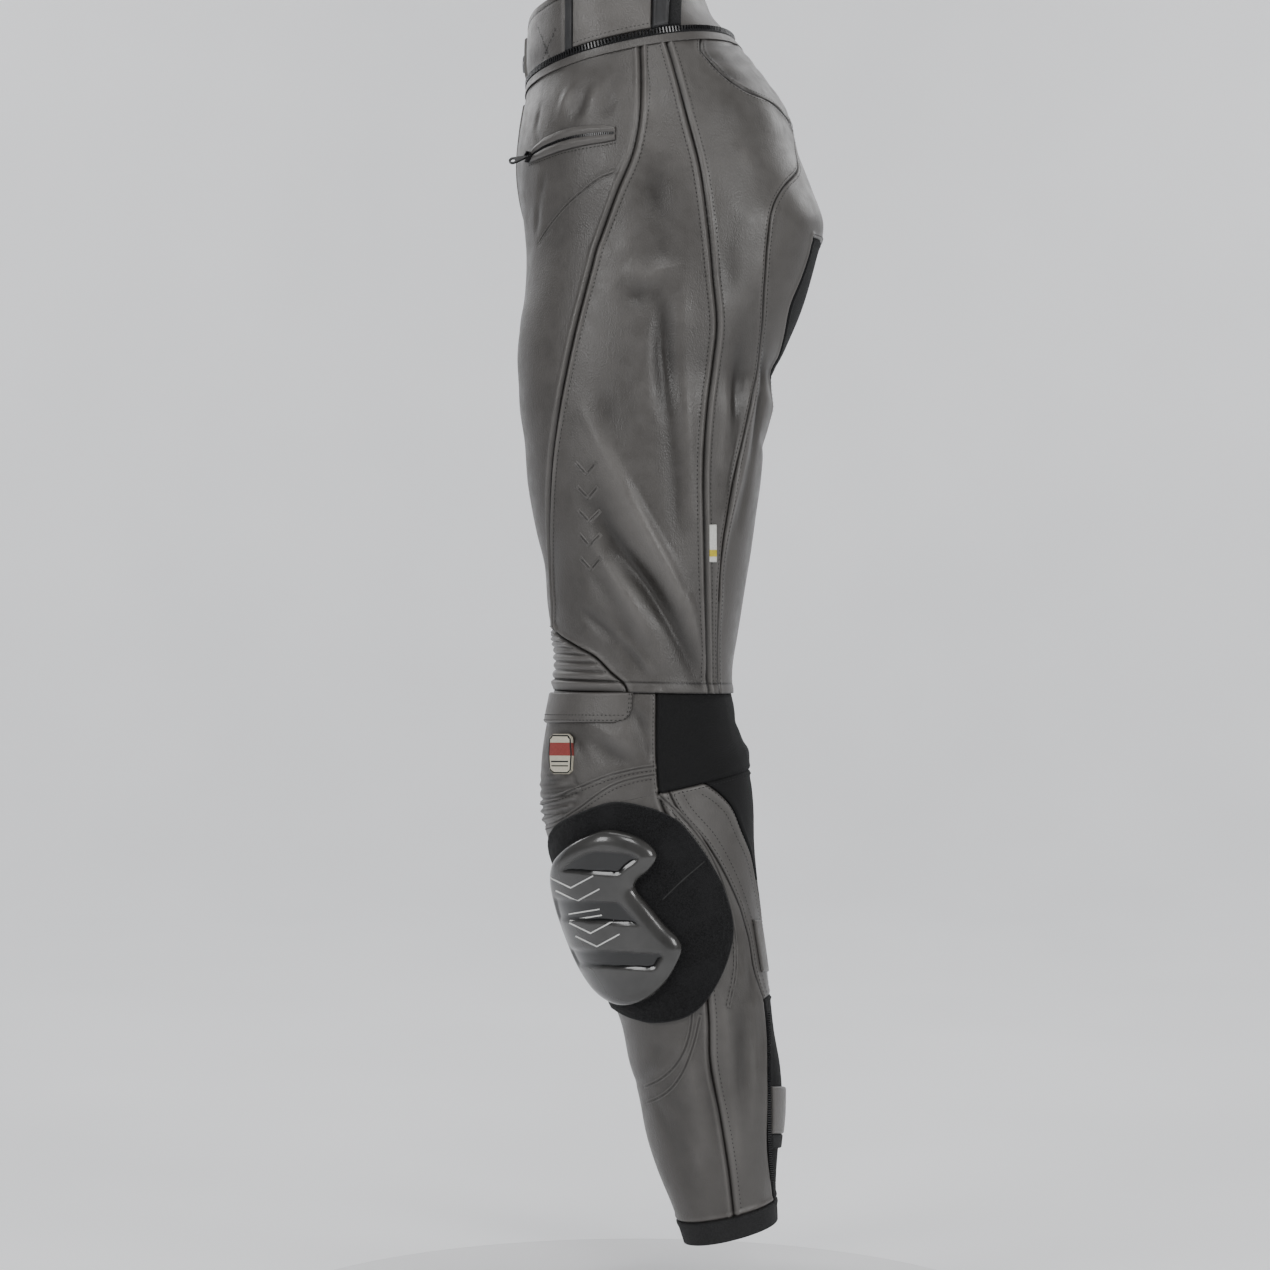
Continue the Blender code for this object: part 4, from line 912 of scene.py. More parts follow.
def build(name, points, faces, look, mirror=False, thick=0.0, marks=None, replaced=(), kinds=None):
    """A piece of the scene from points in millimetres, on its CAD body."""
    points = np.array(points, float).reshape(-1, 3)
    if mirror:
        points = points * (-1, 1, 1)
        faces = [face[::-1] for face in faces]
    mesh = bpy.data.meshes.new(name)
    mesh.from_pydata((points * MM).tolist(), [], faces)
    for one in (look if isinstance(look, (list, tuple)) else (look,)):
        mesh.materials.append(LOOKS[one])
    if kinds is not None:
        mesh.polygons.foreach_set("material_index", np.array(kinds, np.int32))
    for key, values in (marks or {}).items():
        layer = mesh.attributes.new(key, "FLOAT", "POINT")
        layer.data.foreach_set("value", np.ascontiguousarray(values, np.float32).ravel())
    mesh.shade_smooth()
    made = bpy.data.objects.new(name, mesh)
    bpy.context.scene.collection.objects.link(made)
    if thick:
        shell = made.modifiers.new("wall", "SOLIDIFY")
        shell.thickness = thick * MM
        shell.offset = -1.0
        shell.use_rim_only = thick == CLOTH_THICK
    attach(made, "trousers")
    if replaced:
        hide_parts(*replaced)
    return made


def grid_faces(rows, columns, closed=False):
    """The cells of a grid of points."""
    last = columns if closed else columns - 1
    return [(r * columns + c, (r + 1) * columns + c, (r + 1) * columns + (c + 1) % columns,
             r * columns + (c + 1) % columns) for r in range(rows - 1) for c in range(last)]


def cut(piece, name, side=""):
    """Works out the name of what the piece lies on, and hands the piece back as it is."""
    under = UNDER.get(name)
    if under and not under.endswith("_cloth"):
        under = f"{under}_{side or 'left'}_{'cover' if under in UNDER else 'cloth'}"
    return piece


def cloth(name, grid, patches, look, mirror, side, closed=False, thick=CLOTH_THICK):
    """A cut panel: the grid's cells in patches of first row, last row, first and last column."""
    points, relief, seam = grid
    columns = points.shape[1]
    turn = columns - 1 if closed else columns + 1
    inside = np.zeros(points.shape[:2], bool)
    cells = sorted({(r, c) for r0, r1, c0, c1 in patches for r in range(r0, r1) for c in range(c0, c1)})
    for r, c in cells:
        inside[r:r + 2, (c, (c + 1) % turn)] = True
    number = np.cumsum(inside.ravel()).reshape(inside.shape) - 1
    faces = [(int(number[r, c]), int(number[r + 1, c]), int(number[r + 1, (c + 1) % turn]),
              int(number[r, (c + 1) % turn])) for r, c in cells]
    marks = {"relief": relief[inside], "seam": seam[inside]}
    title = f"{name}_{side}" if side else name
    made = build(f"{title}_cloth", points[inside], faces, look, mirror, thick, marks,
                 replaced=(title,))
    return cut(made, name, side)


def surfaced(depth, angle, relief, lift=0.0):
    """Points of the cloth with its creases, and the marks for its painted shade and highlights."""
    point, _, _, normal = metric(depth, angle)
    soft, sewn, nearness = relief.heights(point)
    height = soft + sewn + lift
    # Relief mark: painted shade in troughs and painted highlight on ridges, through the colour ramp.
    flat = np.clip(0.5 + 0.11 * soft + 0.28 * sewn, 0, 1)
    moved = point + normal * height[..., None]
    at_middle = point[..., 0] <= MIDDLE + MIDDLE_CLOSE
    moved[..., 0] = np.where(at_middle, MIDDLE_CLOSE, np.maximum(moved[..., 0], MIDDLE_CLOSE))
    return moved, flat, nearness


STITCHES = []


def stitch(line, relief, lift=0.0, pitch=STITCH_PITCH):
    """One row of stitches along a line of the surface, kept until all rows are known."""
    points, normal = lifted(*line, lift)
    if relief:
        points = surfaced(*line, relief, lift)[0]
    run = run_along(points)
    at = np.arange(pitch / 2, run[-1], pitch)
    ways = []
    for shift in (-STITCH[0] / 2, STITCH[0] / 2):
        ways.append(np.stack([np.interp(at + shift, run, points[:, k]) for k in range(3)], axis=-1))
    up = np.stack([np.interp(at, run, normal[:, k]) for k in range(3)], axis=-1)
    STITCHES.append((ways[0], ways[1], up))


def sew():
    """All the rows as joined long beads of thread."""
    first, last, up = (np.concatenate(part) for part in zip(*STITCHES))
    along = last - first
    along /= np.maximum(np.linalg.norm(along, axis=1, keepdims=True), 1e-9)
    across = np.cross(up, along) * STITCH[1] / 2
    high = up * STITCH[2]
    middle = (first + last) / 2 + high / 2
    points = np.stack((first - high / 2, middle - across, middle + high / 2, middle + across,
                       last - high / 2), axis=1)
    cell = ((0, 1, 2), (0, 2, 3), (4, 2, 1), (4, 3, 2))
    faces = [tuple(5 * k + v for v in face) for k in range(len(points)) for face in cell]
    for side, mirror in SIDES:
        build(f"stitching_{side}", points, faces, "thread", mirror)


def seam_plan(relief, depths, thigh, low_depths, shin):
    """Every seam, dart and stitch row of one half, added to the relief."""
    stitches = []
    front = seam_line(thigh, 2, depths, WAIST_DEPTH, ACCORDION_DEPTH)
    rear = seam_line(thigh, 3, depths, WAIST_DEPTH, THIGH_HEM_DEPTH)
    seat = seam_line(thigh, 4, depths, WAIST_DEPTH, THIGH_HEM_DEPTH)
    crotch = seam_line(thigh, 5, depths, CROTCH_DEPTH, THIGH_HEM_DEPTH)
    inner_front = seam_line(thigh, 1, depths, ACCORDION_DEPTH, THIGH_HEM_DEPTH)
    rib_side = seam_line(thigh, 2, depths, ACCORDION_DEPTH, THIGH_HEM_DEPTH)
    inseam = seam_line(thigh, 6, depths, 300, THIGH_HEM_DEPTH)
    inseam_front = seam_line(thigh, 0, depths, 300, THIGH_HEM_DEPTH)
    for line, kind, offsets in (
            (front, "piped", (6.6,)), (rear, "piped", (6.4, -6.4)), (seat, "sewn", (3.2, -3.2)),
            (crotch, "lapped", (3.0,)), (inner_front, "sewn", (2.4,)), (rib_side, "lapped", (-2.6, -9.0)),
            (inseam, "sewn", ()), (inseam_front, "sewn", ())):
        relief.add(line, kind)
        stitches += [(line, offset) for offset in offsets]
    yoke = level_line(thigh, YOKE_DEPTH, 4, 6, depths)
    crotch_top = level_line(thigh, CROTCH_DEPTH, 5, 6, depths)
    rib_top = level_line(thigh, ACCORDION_DEPTH, 1, 2, depths)
    for line in (yoke, crotch_top, rib_top):
        relief.add(line, "sewn")
        stitches.append((line, 3.0))
    outer = seam_line(shin, 1, low_depths, KNEE_HEM_DEPTH, BINDING_DEPTH)
    knee_edge = seam_line(shin, 1, low_depths, THIGH_HEM_DEPTH, KNEE_HEM_DEPTH)
    knee_inner = seam_line(shin, 0, low_depths, THIGH_HEM_DEPTH, KNEE_HEM_DEPTH)
    inner = seam_line(shin, 0, low_depths, KNEE_HEM_DEPTH, BINDING_DEPTH)
    calf = seam_line(shin, 2, low_depths, KNEE_HEM_DEPTH, BINDING_DEPTH)
    band = seam_line(shin, 3, low_depths, KNEE_HEM_DEPTH, BINDING_DEPTH)
    tongue = seam_line(shin, 4, low_depths, KNEE_HEM_DEPTH, TONGUE_DEPTH)
    for line, kind, offsets in (
            (outer, "piped", (6.4,)), (inner, "sewn", (3.2,)), (knee_edge, "lapped", (-2.6,)),
            (knee_inner, "lapped", (2.6,)), (calf, "sewn", (2.6, 10.0)), (band, "lapped", (-2.4, -9.0)),
            (tongue, "lapped", (2.6,))):
        relief.add(line, kind)
        stitches += [(line, offset) for offset in offsets]
    knee_back = level_line(shin, KNEE_HEM_DEPTH, 1, 5, low_depths)
    binding = level_line(shin, BINDING_DEPTH, 0, 5, low_depths, 80)
    stretch_top = level_line(shin, CALF_STRETCH_DEPTH, 2, 3, low_depths, 16)
    for line, kind in ((knee_back, "sewn"), (binding, "lapped"), (stretch_top, "sewn")):
        relief.add(line, kind)
        stitches.append((line, -3.0))
    relief.add(level_line(shin, THIGH_HEM_DEPTH, 0, 5, low_depths, 80), "stitch")
    for z, reach in KNEE_RIBS:
        relief.add(across_front(((-66, z - 2), (-66 + reach, z), (-66 + 2 * reach, z + 3))), "rib")
    tooled = []
    for line, offset in ((DART, 0.0), *((line, 0.0) for line in LOWER_CURVES), (BAND_INNER, -3.2)):
        tooled.append(sideways(line))
        if offset:
            stitches.append((tooled[-1], offset))
    for line in (KNEE_LOW, KNEE_LOW_UPPER):
        tooled.append(across_front(line))
        stitches.append((tooled[-1], 3.4))
    for line in tooled:
        relief.add(line, "soft")
    wide, high = CHEVRON_SIZE
    for y, z in THIGH_CHEVRONS:
        tooled.append(sideways(((y - wide, z + high), (y, z))))
        tooled.append(sideways(((y, z), (y + wide, z + high))))
    hem_row = level_line(thigh, THIGH_HEM_DEPTH, 0, 6, depths, 80)
    hem_row = hem_row[0] - 8.5, hem_row[1]
    relief.add(hem_row, "stitch")
    stitches.append((hem_row, 0.0))
    return stitches, tooled


def tooled_lines(lines, relief):
    """Narrow strips over the cloth, each with two soft lips and a groove between them, darkened with painted
    shade.
    """
    points, faces, shades, heights = [], [], [], []
    across = len(TOOLED)
    for line in lines:
        fine = resampled(line, TOOLED_STEP)
        strip = []
        for offset, lift, _ in TOOLED:
            strip.append(surfaced(*beside(fine, offset), relief, lift)[0])
        rows = len(strip[0])
        fade = np.clip(np.minimum(np.arange(rows), np.arange(rows)[::-1]) / 2, 0, 1)
        first = sum(len(part) for part in points)
        points.append(np.stack(strip, axis=1).reshape(-1, 3))
        # Painted shade along the groove's middle.
        shades.append((fade[:, None] * np.array([dark for _, _, dark in TOOLED])).ravel())
        heights.append(np.full(rows * across, 0.6))
        faces += [tuple(first + corner for corner in face) for face in grid_faces(rows, across)]
    marks = {"relief": np.concatenate(heights), "seam": np.concatenate(shades)}
    for side, mirror in SIDES:
        build(f"tooled_lines_{side}", np.concatenate(points), faces, "leather", mirror,
              marks=marks)


def thigh_pieces(relief, depths, seams):
    """Thigh, hip and seat panels of both legs, with the ribbed knee accordion."""
    angles = spread(depths, seams, THIGH_COLUMNS)
    near_hem = np.clip((depths - 522) / 8, 0, 1)[:, None]
    grid = surfaced(depths[:, None], angles, relief, 1.0 * near_hem)
    waist, yoke, crotch, back_end, ribs, hem = np.cumsum((0,) + THIGH_ROWS)
    start, inner, front, rear, seat, inside, end = np.cumsum((0,) + THIGH_COLUMNS)
    pieces = {
        "front_thigh": ("leather", "leather", ((waist, ribs, start, front), (ribs, hem, start, inner))),
        "side_thigh": ("leather", "leather", ((waist, hem, front, rear),)),
        "back_thigh": ("leather_smooth", "leather", ((waist, back_end, rear, seat),)),
        "seat_panel": ("leather_smooth", "leather", ((yoke, hem, seat, inside), (yoke, crotch, inside, end),
                                                     (back_end, hem, rear, seat))),
        "inner_thigh": ("stretch", "stretch", ((crotch, hem, inside, end),)),
    }
    for side, mirror in SIDES:
        for name, (look, slot, patches) in pieces.items():
            cloth(name, grid, patches, look, mirror, side)
    yoke_half = [part[waist:yoke + 1, seat:end + 1] for part in grid]
    accordion(relief, depths[ribs:hem + 1], [seam[ribs:hem + 1] for seam in seams[1:3]])
    return yoke_half


def accordion(relief, depths, seams):
    """Soft ribs over the knee, which grow towards the hem."""
    rows, columns = RIB_COUNT * 10, 64
    share = np.linspace(0, 1, rows + 1)
    fine = depths[0] + (depths[-1] - depths[0]) * share
    first, last = (np.interp(fine, depths, seam) for seam in seams)
    u = stops(0.0, 1.0, columns)
    angles = between(first, last, columns)
    phase = RIB_COUNT * share ** (1 / (1 + RIB_GROWTH))
    wave = np.abs(np.sin(math.pi * phase)) ** 0.8
    swell = 0.6 + 0.6 * share + 0.15 * np.sin(2.3 * np.floor(phase))
    fade = np.clip(np.minimum(u, 1 - u) / 0.07, 0, 1) ** 0.6
    ends = np.clip(8 * np.minimum(share, 1 - share), 0, 1)[:, None]
    lift = RIB_HEIGHT * (wave * swell)[:, None] * fade * ends
    grid = surfaced(fine[:, None], angles, relief, lift)
    points, flat, near_seam = grid
    # Painted light: rib tops lighter and the troughs between ribs darker, through the relief mark.
    flat = np.clip(flat + 0.16 * (lift - 1.2), 0, 1)
    for side, mirror in SIDES:
        cloth("knee_accordion", (points, flat, near_seam), ((0, rows, 0, columns),), "leather_smooth",
              mirror, side)


def shin_pieces(relief, depths, seams):
    """Knee, shin and calf panels of both legs, with the hem binding."""
    angles = spread(depths, seams, SHIN_COLUMNS)
    under = -1.1 * np.clip((THIGH_HEM_DEPTH + 10 - depths) / 10, 0, 1)[:, None]
    grid = surfaced(depths[:, None], angles, relief, under)
    top, knee, tongue, stretch, binding, hem = np.cumsum((0,) + SHIN_ROWS)
    start, outer, calf, band, inner, end = np.cumsum((0,) + SHIN_COLUMNS)
    tucked = binding + 3
    pieces = {
        "knee_panel": ("leather", "leather", ((top, knee, start, outer),)),
        "knee_back": ("stretch", "stretch", ((top, knee, outer, end), (knee, tongue, band, inner))),
        "knee_band": ("leather_smooth", "leather", ((knee, stretch, calf, band),)),
        "shin_panel": ("leather", "leather", ((knee, tucked, start, outer),)),
        "calf_panel": ("leather_smooth", "leather", ((knee, tucked, outer, calf),)),
        "calf_stretch": ("stretch", "stretch", ((stretch, tucked, calf, band),)),
        "inner_calf": ("leather", "leather", ((knee, tongue, inner, end), (tongue, tucked, band, end))),
    }
    ring = surfaced(depths[binding:, None], angles[binding:], relief, 0.7)
    for side, mirror in SIDES:
        for name, (look, slot, patches) in pieces.items():
            cloth(name, grid, patches, look, mirror, side)
        cloth("hem_binding", ring, ((0, hem - binding, start, end),), "binding", mirror, side,
              closed=True, thick=2.0)


def rim_of(points):
    """The closed line round a grid."""
    return np.concatenate((points[0], points[1:, -1], points[-1, -2::-1], points[-2:0:-1, 0], points[:1, 0]))


def rim_distance(points):
    """How far each point of a grid is from the grid's edge."""
    return near(points, rim_of(points), RIM_REACH)[0]


def padded_edge(away, height, radius):
    """A flat top with a rounded edge that comes down to the cloth."""
    share = np.clip(away / radius, 0, 1)
    return height * np.sqrt(1 - (1 - share) ** 2)


def patch(heights, left, right, rows, columns):
    """A fine grid over one stretch of the cloth: a table of heights and the angle at each edge."""
    z = stops(heights[0], heights[-1], rows)
    order = slice(None, None, -1)
    first = np.interp(z, heights[order], left[order])
    last = np.interp(z, heights[order], right[order])
    angles = between(first, last, columns)
    return depth_at(angles, np.broadcast_to(z[:, None], angles.shape)), angles


def overlay(name, where, look, mirror, side, height, radius=2.0, extra=None, kinds=None, deep=None):
    """A piece that lies on the cloth, with a rounded edge that comes down to it."""
    point, normal = lifted(*where)
    away = rim_distance(point)
    lift = padded_edge(away, height, radius)
    if extra is not None:
        lift = lift + extra(point, away)
    points = point + normal * lift[..., None]
    rows, columns = away.shape
    # Painted shade: a contact shadow along the rim, and a fainter dark line 4 mm inside it.
    rim_shadow_and_inset_line = np.maximum(np.exp(-((away - 4.0) / 0.9) ** 2) * 0.4, np.exp(-(away / 0.9) ** 2))
    marks = {"relief": np.full(away.shape, 0.7), "seam": deep(point, away) if deep else rim_shadow_and_inset_line}
    faces = grid_faces(rows, columns)
    chosen = kinds(point, away) if kinds else None
    title = f"{name}_{side}" if side else name
    made = build(f"{title}_cover", points, faces, look, mirror, marks=marks, kinds=chosen,
                 replaced=(title,) if title in frame["nodes"] else ())
    return cut(made, name, side) if name in CUTS else made


def outlined(outline, corners, across, down):
    """A fine grid that fills an outline on the cloth, its edges on the outline's four sides."""
    points = np.array(outline, float)
    count = len(points)
    sides = []
    for first, last, cells in zip(corners, corners[1:] + (count,), (across, down, across, down)):
        t = np.linspace(first, last, 30 * (last - first) + 1)
        k = np.minimum(t.astype(int), last - 1)
        f = (t - k)[:, None]
        before, a, b, after = (points[(k + step) % count] for step in (-1, 0, 1, 2))
        curve = a + f / 2 * (b - before) + f ** 2 * (before - 2.5 * a + 2 * b - after / 2) \
            + f ** 3 / 2 * (after - before + 3 * (a - b))
        steps = np.hypot(np.diff(curve[:, 0]) * MM_PER_DEGREE, np.diff(curve[:, 1]))
        run = np.concatenate(((0,), np.cumsum(steps)))
        at = stops(0.0, run[-1], cells)
        sides.append(np.stack([np.interp(at, run, curve[:, axis]) for axis in (0, 1)], axis=-1))
    top, right, bottom, left = sides[0], sides[1], sides[2][::-1], sides[3][::-1]
    u = stops(0.0, 1.0, across)[None, :, None]
    v = stops(0.0, 1.0, down)[:, None, None]
    filled = ((1 - v) * top[None] + v * bottom[None] + (1 - u) * left[:, None] + u * right[:, None]
              - (1 - v) * ((1 - u) * top[0] + u * top[-1]) - v * ((1 - u) * bottom[0] + u * bottom[-1]))
    angles = np.radians(filled[..., 0])
    return depth_at(angles, filled[..., 1]), angles


def band_share(points, away):
    """How far inside one of the slider's sunken bands each point is, from 0 to 1."""
    y, z = seen(points)
    slope = 0.12 * (y + 10)
    share = np.zeros(away.shape)
    for upper, lower in SLIDER_BANDS:
        inside = np.clip((upper - slope - z) / BAND_WALL, 0, 1)
        inside = inside * np.clip((z - lower + slope) / BAND_WALL, 0, 1)
        share = np.maximum(share, inside * np.clip((away - BAND_INSET) / (2 * BAND_WALL), 0, 1))
    return share ** 2 * (3 - 2 * share)


def slider_lift(points, away):
    """Height of the knee slider's top: a rounded edge, a flat crown and three sunken bands."""
    share = np.clip(away / SLIDER_BEVEL, 0, 1)
    floor = BASE_GAP + BASE_THICK + SLIDER_GAP
    top = floor + SLIDER_EDGE + (SLIDER_HEIGHT - SLIDER_EDGE) * np.sqrt(1 - (1 - share) ** 2)
    return top - BAND_DEPTH * band_share(points, away)


def knee_overlays():
    """Flap, badge, slider base and slider on the knee."""
    z, right = np.array(KNEE_FLAP, float).T
    right = place(right, z)[1]
    flap = patch(z, -math.pi - right, right, 26, 120)
    zb, left, edge = np.array(BADGE, float).T
    badge = patch(zb, place(left, zb)[1], place(edge, zb)[1], 40, 30)
    base = outlined(SLIDER_BASE, BASE_CORNERS, *BASE_CELLS)
    slider = outlined(SLIDER, SLIDER_CORNERS, *SLIDER_CELLS)
    random = np.random.default_rng(SEED)
    fuzz = random.normal(0, 0.16, base[0].shape)
    base_line = form(*sideways(BASE_LINE))

    def fuzzy(point, away):
        gap = near(point, base_line, 6.0)[0]
        return fuzz * np.clip(away / 2, 0, 1) - 0.7 * np.exp(-(gap / 1.0) ** 2)

    def badge_kinds(point, away):
        cell_away = away[:-1, :-1]
        zz = seen(point)[1][:-1, :-1]
        kinds = np.zeros(cell_away.shape, int)
        kinds[(zz < -577) & (zz > -588)] = 1
        kinds[(cell_away < 2.4) & (cell_away > 0.9)] = 2
        kinds[(zz < -592) & (zz > -593.4) & (cell_away > 4)] = 2
        kinds[(zz < -596) & (zz > -597.4) & (cell_away > 4)] = 2
        return kinds.ravel()

    for side, mirror in SIDES:
        overlay("knee_flap", flap, "leather", mirror, side, OVERLAY_GAP + FLAP_THICK, 2.2)
        overlay("knee_badge", badge, ("badge", "badge_red", "badge_edge"), mirror, side,
                OVERLAY_GAP + BADGE_THICK, 1.2, kinds=badge_kinds)
        overlay("slider_base", base, "hook_loop", mirror, side, BASE_GAP + BASE_THICK, 2.4,
                extra=fuzzy)
        overlay("knee_slider", slider, "slider", mirror, side, 0.0, extra=slider_top,
                deep=band_share)
        slider_lines(slider, mirror, side)
        worn_line(mirror, side)
    depth, angle = flap
    top = OVERLAY_GAP + FLAP_THICK + 0.1
    for up, inward in ((6, 3), (10, 6)):
        stitch((depth[-up, inward:-inward], angle[-up, inward:-inward]), None, top)
        stitch((depth[:-up, -inward], angle[:-up, -inward]), None, top)


def worn_line(mirror, side):
    """The thin pale crease on the slider base."""
    depth, angle = resampled(sideways(BASE_LINE), 2.0)
    edges = []
    for offset, lift in ((-0.6, -0.1), (0.0, 0.35), (0.6, -0.1)):
        edges.append(lifted(*beside((depth, angle), offset), BASE_GAP + BASE_THICK + lift)[0])
    points = np.stack(edges, axis=1)
    build(f"base_crease_{side}", points, grid_faces(len(depth), 3), "worn_line", mirror)


def slider_top(point, away):
    """The slider's top comes down over its edge to the base."""
    return np.where(away < 0.02, BASE_GAP + BASE_THICK * 0.8, slider_lift(point, away))


def slider_lines(where, mirror, side):
    """White lines printed on the slider: chevrons above and below two short bars."""
    wide, high = SLIDER_CHEVRON_SIZE
    lines = [((y - wide, z + high), (y, z), (y + wide, z + high)) for y, z in SLIDER_CHEVRONS]
    lines += list(SLIDER_BARS)
    rim = rim_of(lifted(*where)[0])
    points, faces = [], []
    for line in lines:
        corner_points = np.array(line, float)
        for a, b in zip(corner_points[:-1], corner_points[1:]):
            run = b - a
            way = run / np.linalg.norm(run)
            across = np.array((-way[1], way[0])) * LINE_WIDTH / 2
            steps = np.linspace(-LINE_END, np.linalg.norm(run) + LINE_END, 14)
            strip = np.stack([a + way * s + across * o for s in steps for o in (-1, 0, 1)])
            d, t = place(strip[:, 0], strip[:, 1])
            base, normal = lifted(d, t)
            height = slider_lift(base, near(base, rim, RIM_REACH)[0]) + PRINT_LIFT
            first = len(points)
            points += list(base + normal * height[:, None])
            faces += [(first + 3 * k + o, first + 3 * k + 1 + o, first + 3 * k + 4 + o, first + 3 * k + 3 + o)
                      for k in range(len(steps) - 1) for o in (0, 1)]
    build(f"slider_lines_{side}", points, faces, "white_line", mirror)


def waist_pieces(relief, yoke_half):
    """Waistband, yoke, straps, and the zip round the band's foot with its teeth."""
    depths = fine_rows((BAND_TOP_DEPTH, BAND_FOOT_DEPTH), (26,))
    end = end_angle(depths)
    seam = seam_angle(((WAISTBAND_SEAM_Y, 90), (WAISTBAND_SEAM_Y, -60)), depths)
    angles = spread(depths, (-end, seam, end), (44, 110))
    edge_row = np.full(60, BAND_TOP_DEPTH + 5.0), np.linspace(-end[4], end[4], 60)
    foot_row = np.full(60, BAND_FOOT_DEPTH - 5.0), np.linspace(-end[-4], end[-4], 60)
    band_relief = Relief()
    band_relief.creases = [crease for crease in band_relief.creases if crease[1] < 0]
    for row in (edge_row, foot_row):
        band_relief.add(row, "stitch")
        stitch(row, band_relief, 0.15)
    band_relief.add((depths, seam), "lapped")
    cross = (((-69, 24), (-57, -8)), ((-54, 22), (-66, -6)))
    for line in cross:
        band_relief.add(sideways(line), "stitch")
        stitch(sideways(line), band_relief, 0.15, 3.0)
    grid = surfaced(depths[:, None], angles, band_relief)
    rows = len(depths) - 1
    for side, mirror in SIDES:
        cloth("waistband_front", grid, ((0, rows, 0, 44),), "leather", mirror, side,
              thick=BAND_THICK)
    back = side_by_side([part[:, 44:] for part in grid])
    cloth("waistband_back", back, ((0, rows, 0, back[0].shape[1] - 1),), "leather", False, "",
          thick=BAND_THICK)
    points, flat, near_seam = side_by_side(yoke_half)
    rows, columns = flat.shape
    v, u = np.meshgrid(np.linspace(0, 1, rows), np.linspace(-1, 1, columns), indexing="ij")
    crinkle = np.sin(46 * v + 2.2 * np.sin(9 * u) + 3 * u * u) * np.sin(math.pi * v) ** 0.5
    crinkle = crinkle * (0.55 + 0.25 * np.sin(17 * u + 8 * v))
    lifted = points + np.array((0, 1.0, 0.35)) * crinkle[..., None]
    # Painted light: crinkle ridges lighter and their troughs darker, through the relief mark.
    cloth("back_yoke", (lifted, np.clip(flat + 0.2 * crinkle, 0, 1), near_seam),
          ((0, rows - 1, 0, columns - 1),), "yoke", False, "")
    straps()
    zip_ring()


def side_by_side(grid):
    """A half's grid joined to its mirror image at the middle of the back."""
    points, flat, near_seam = (np.array(part) for part in grid)
    points[:, -1, 0] = 0.0
    other = (points * (-1, 1, 1))[:, ::-1]
    return (np.concatenate((points, other[:, 1:]), axis=1),
            np.concatenate((flat, flat[:, ::-1][:, 1:]), axis=1),
            np.concatenate((near_seam, near_seam[:, ::-1][:, 1:]), axis=1))


def straps():
    """Belt strap with its moulded tab, hook-and-loop end, and the loop that it comes out of."""
    depths = stops(*STRAP_DEPTHS, 26)
    pieces = STRAP_PIECES + (("strap_loop", "rubber", -45, -38.6, 1.6),)
    for name, finish, front, back, thick in pieces:
        first, last = (angle_at(depths, np.full(depths.shape, float(y))) for y in (front, back))
        columns = 70 if name == "belt_strap" else 22
        angles = between(first, last, columns)
        where = np.broadcast_to(depths[:, None], angles.shape), angles
        extra = tab_frame if name == "strap_tab" else None
        for side, mirror in SIDES:
            overlay(name, where, finish, mirror, side, OVERLAY_GAP + thick, 1.6, extra)
        if name == "belt_strap":
            for row in (2, -3):
                stitch((where[0][row * 2, 3:-3], angles[row * 2, 3:-3]), None,
                       OVERLAY_GAP + thick + 0.1)


def tab_frame(point, away):
    """A shallow framed hollow on the moulded tab."""
    return -0.8 * np.clip((away - 2.2) / 0.8, 0, 1)


def zip_ring():
    """The jacket zip round the waist: tape and one row of teeth."""
    depths = stops(*ZIP_ROWS, 8)
    end = end_angle(depths)
    opening = -end + math.radians(ZIP_ENDS_DEGREES)
    angles = spread(depths, (opening, end), (220,))
    point, _ = lifted(np.broadcast_to(depths[:, None], angles.shape), angles, ZIP_LIFT)
    zeros = np.zeros(point.shape[:2])
    ring = side_by_side((point, zeros + 0.5, zeros))
    rows, columns = ring[1].shape
    row = np.repeat(np.arange(rows - 1), columns - 1)
    tape = build("connection_zip_tape", ring[0], grid_faces(rows, columns), ("zip_tape", "leather"),
                 thick=0.9, marks={"relief": ring[1], "seam": ring[2]},
                 replaced=("connection_zip",), kinds=(row > ZIP_DARK_ROWS).astype(int))
    cut(tape, "connection_zip_tape")
    teeth_row("connection_zip_teeth", ring[0][0] + (0, 0, 0.6), TOOTH_PITCH, TOOTH, (0, 0, 1))


def teeth_row(name, line, pitch, size, up, mirror=False):
    """Small blocks along a line: width along it, height across it and how far they stand out."""
    run = run_along(line)
    at = np.arange(pitch, run[-1] - pitch, pitch)
    centre = np.stack([np.interp(at, run, line[:, k]) for k in range(3)], axis=-1)
    ahead = np.stack([np.interp(at + 0.5, run, line[:, k]) for k in range(3)], axis=-1)
    along = ahead - centre
    along /= np.linalg.norm(along, axis=1, keepdims=True)
    out = np.cross(along, np.array(up, float))
    out /= np.linalg.norm(out, axis=1, keepdims=True)
    high = np.cross(out, along)
    corners = [(a, b, c) for a in (-1, 1) for b in (-1, 1) for c in (-1, 1)]
    wide, tall, deep = (s / 2 for s in size)
    points = np.stack([centre + along * a * wide * (0.75 if c > 0 else 1) + high * b * tall + out * c * deep
                       for a, b, c in corners], axis=1)
    cell = ((0, 1, 3, 2), (4, 6, 7, 5), (0, 4, 5, 1), (2, 3, 7, 6), (0, 2, 6, 4), (1, 5, 7, 3))
    faces = [tuple(8 * k + v for v in face) for k in range(len(points)) for face in cell]
    made = build(name, points, faces, "teeth", mirror)
    made.data.shade_flat()
    return made


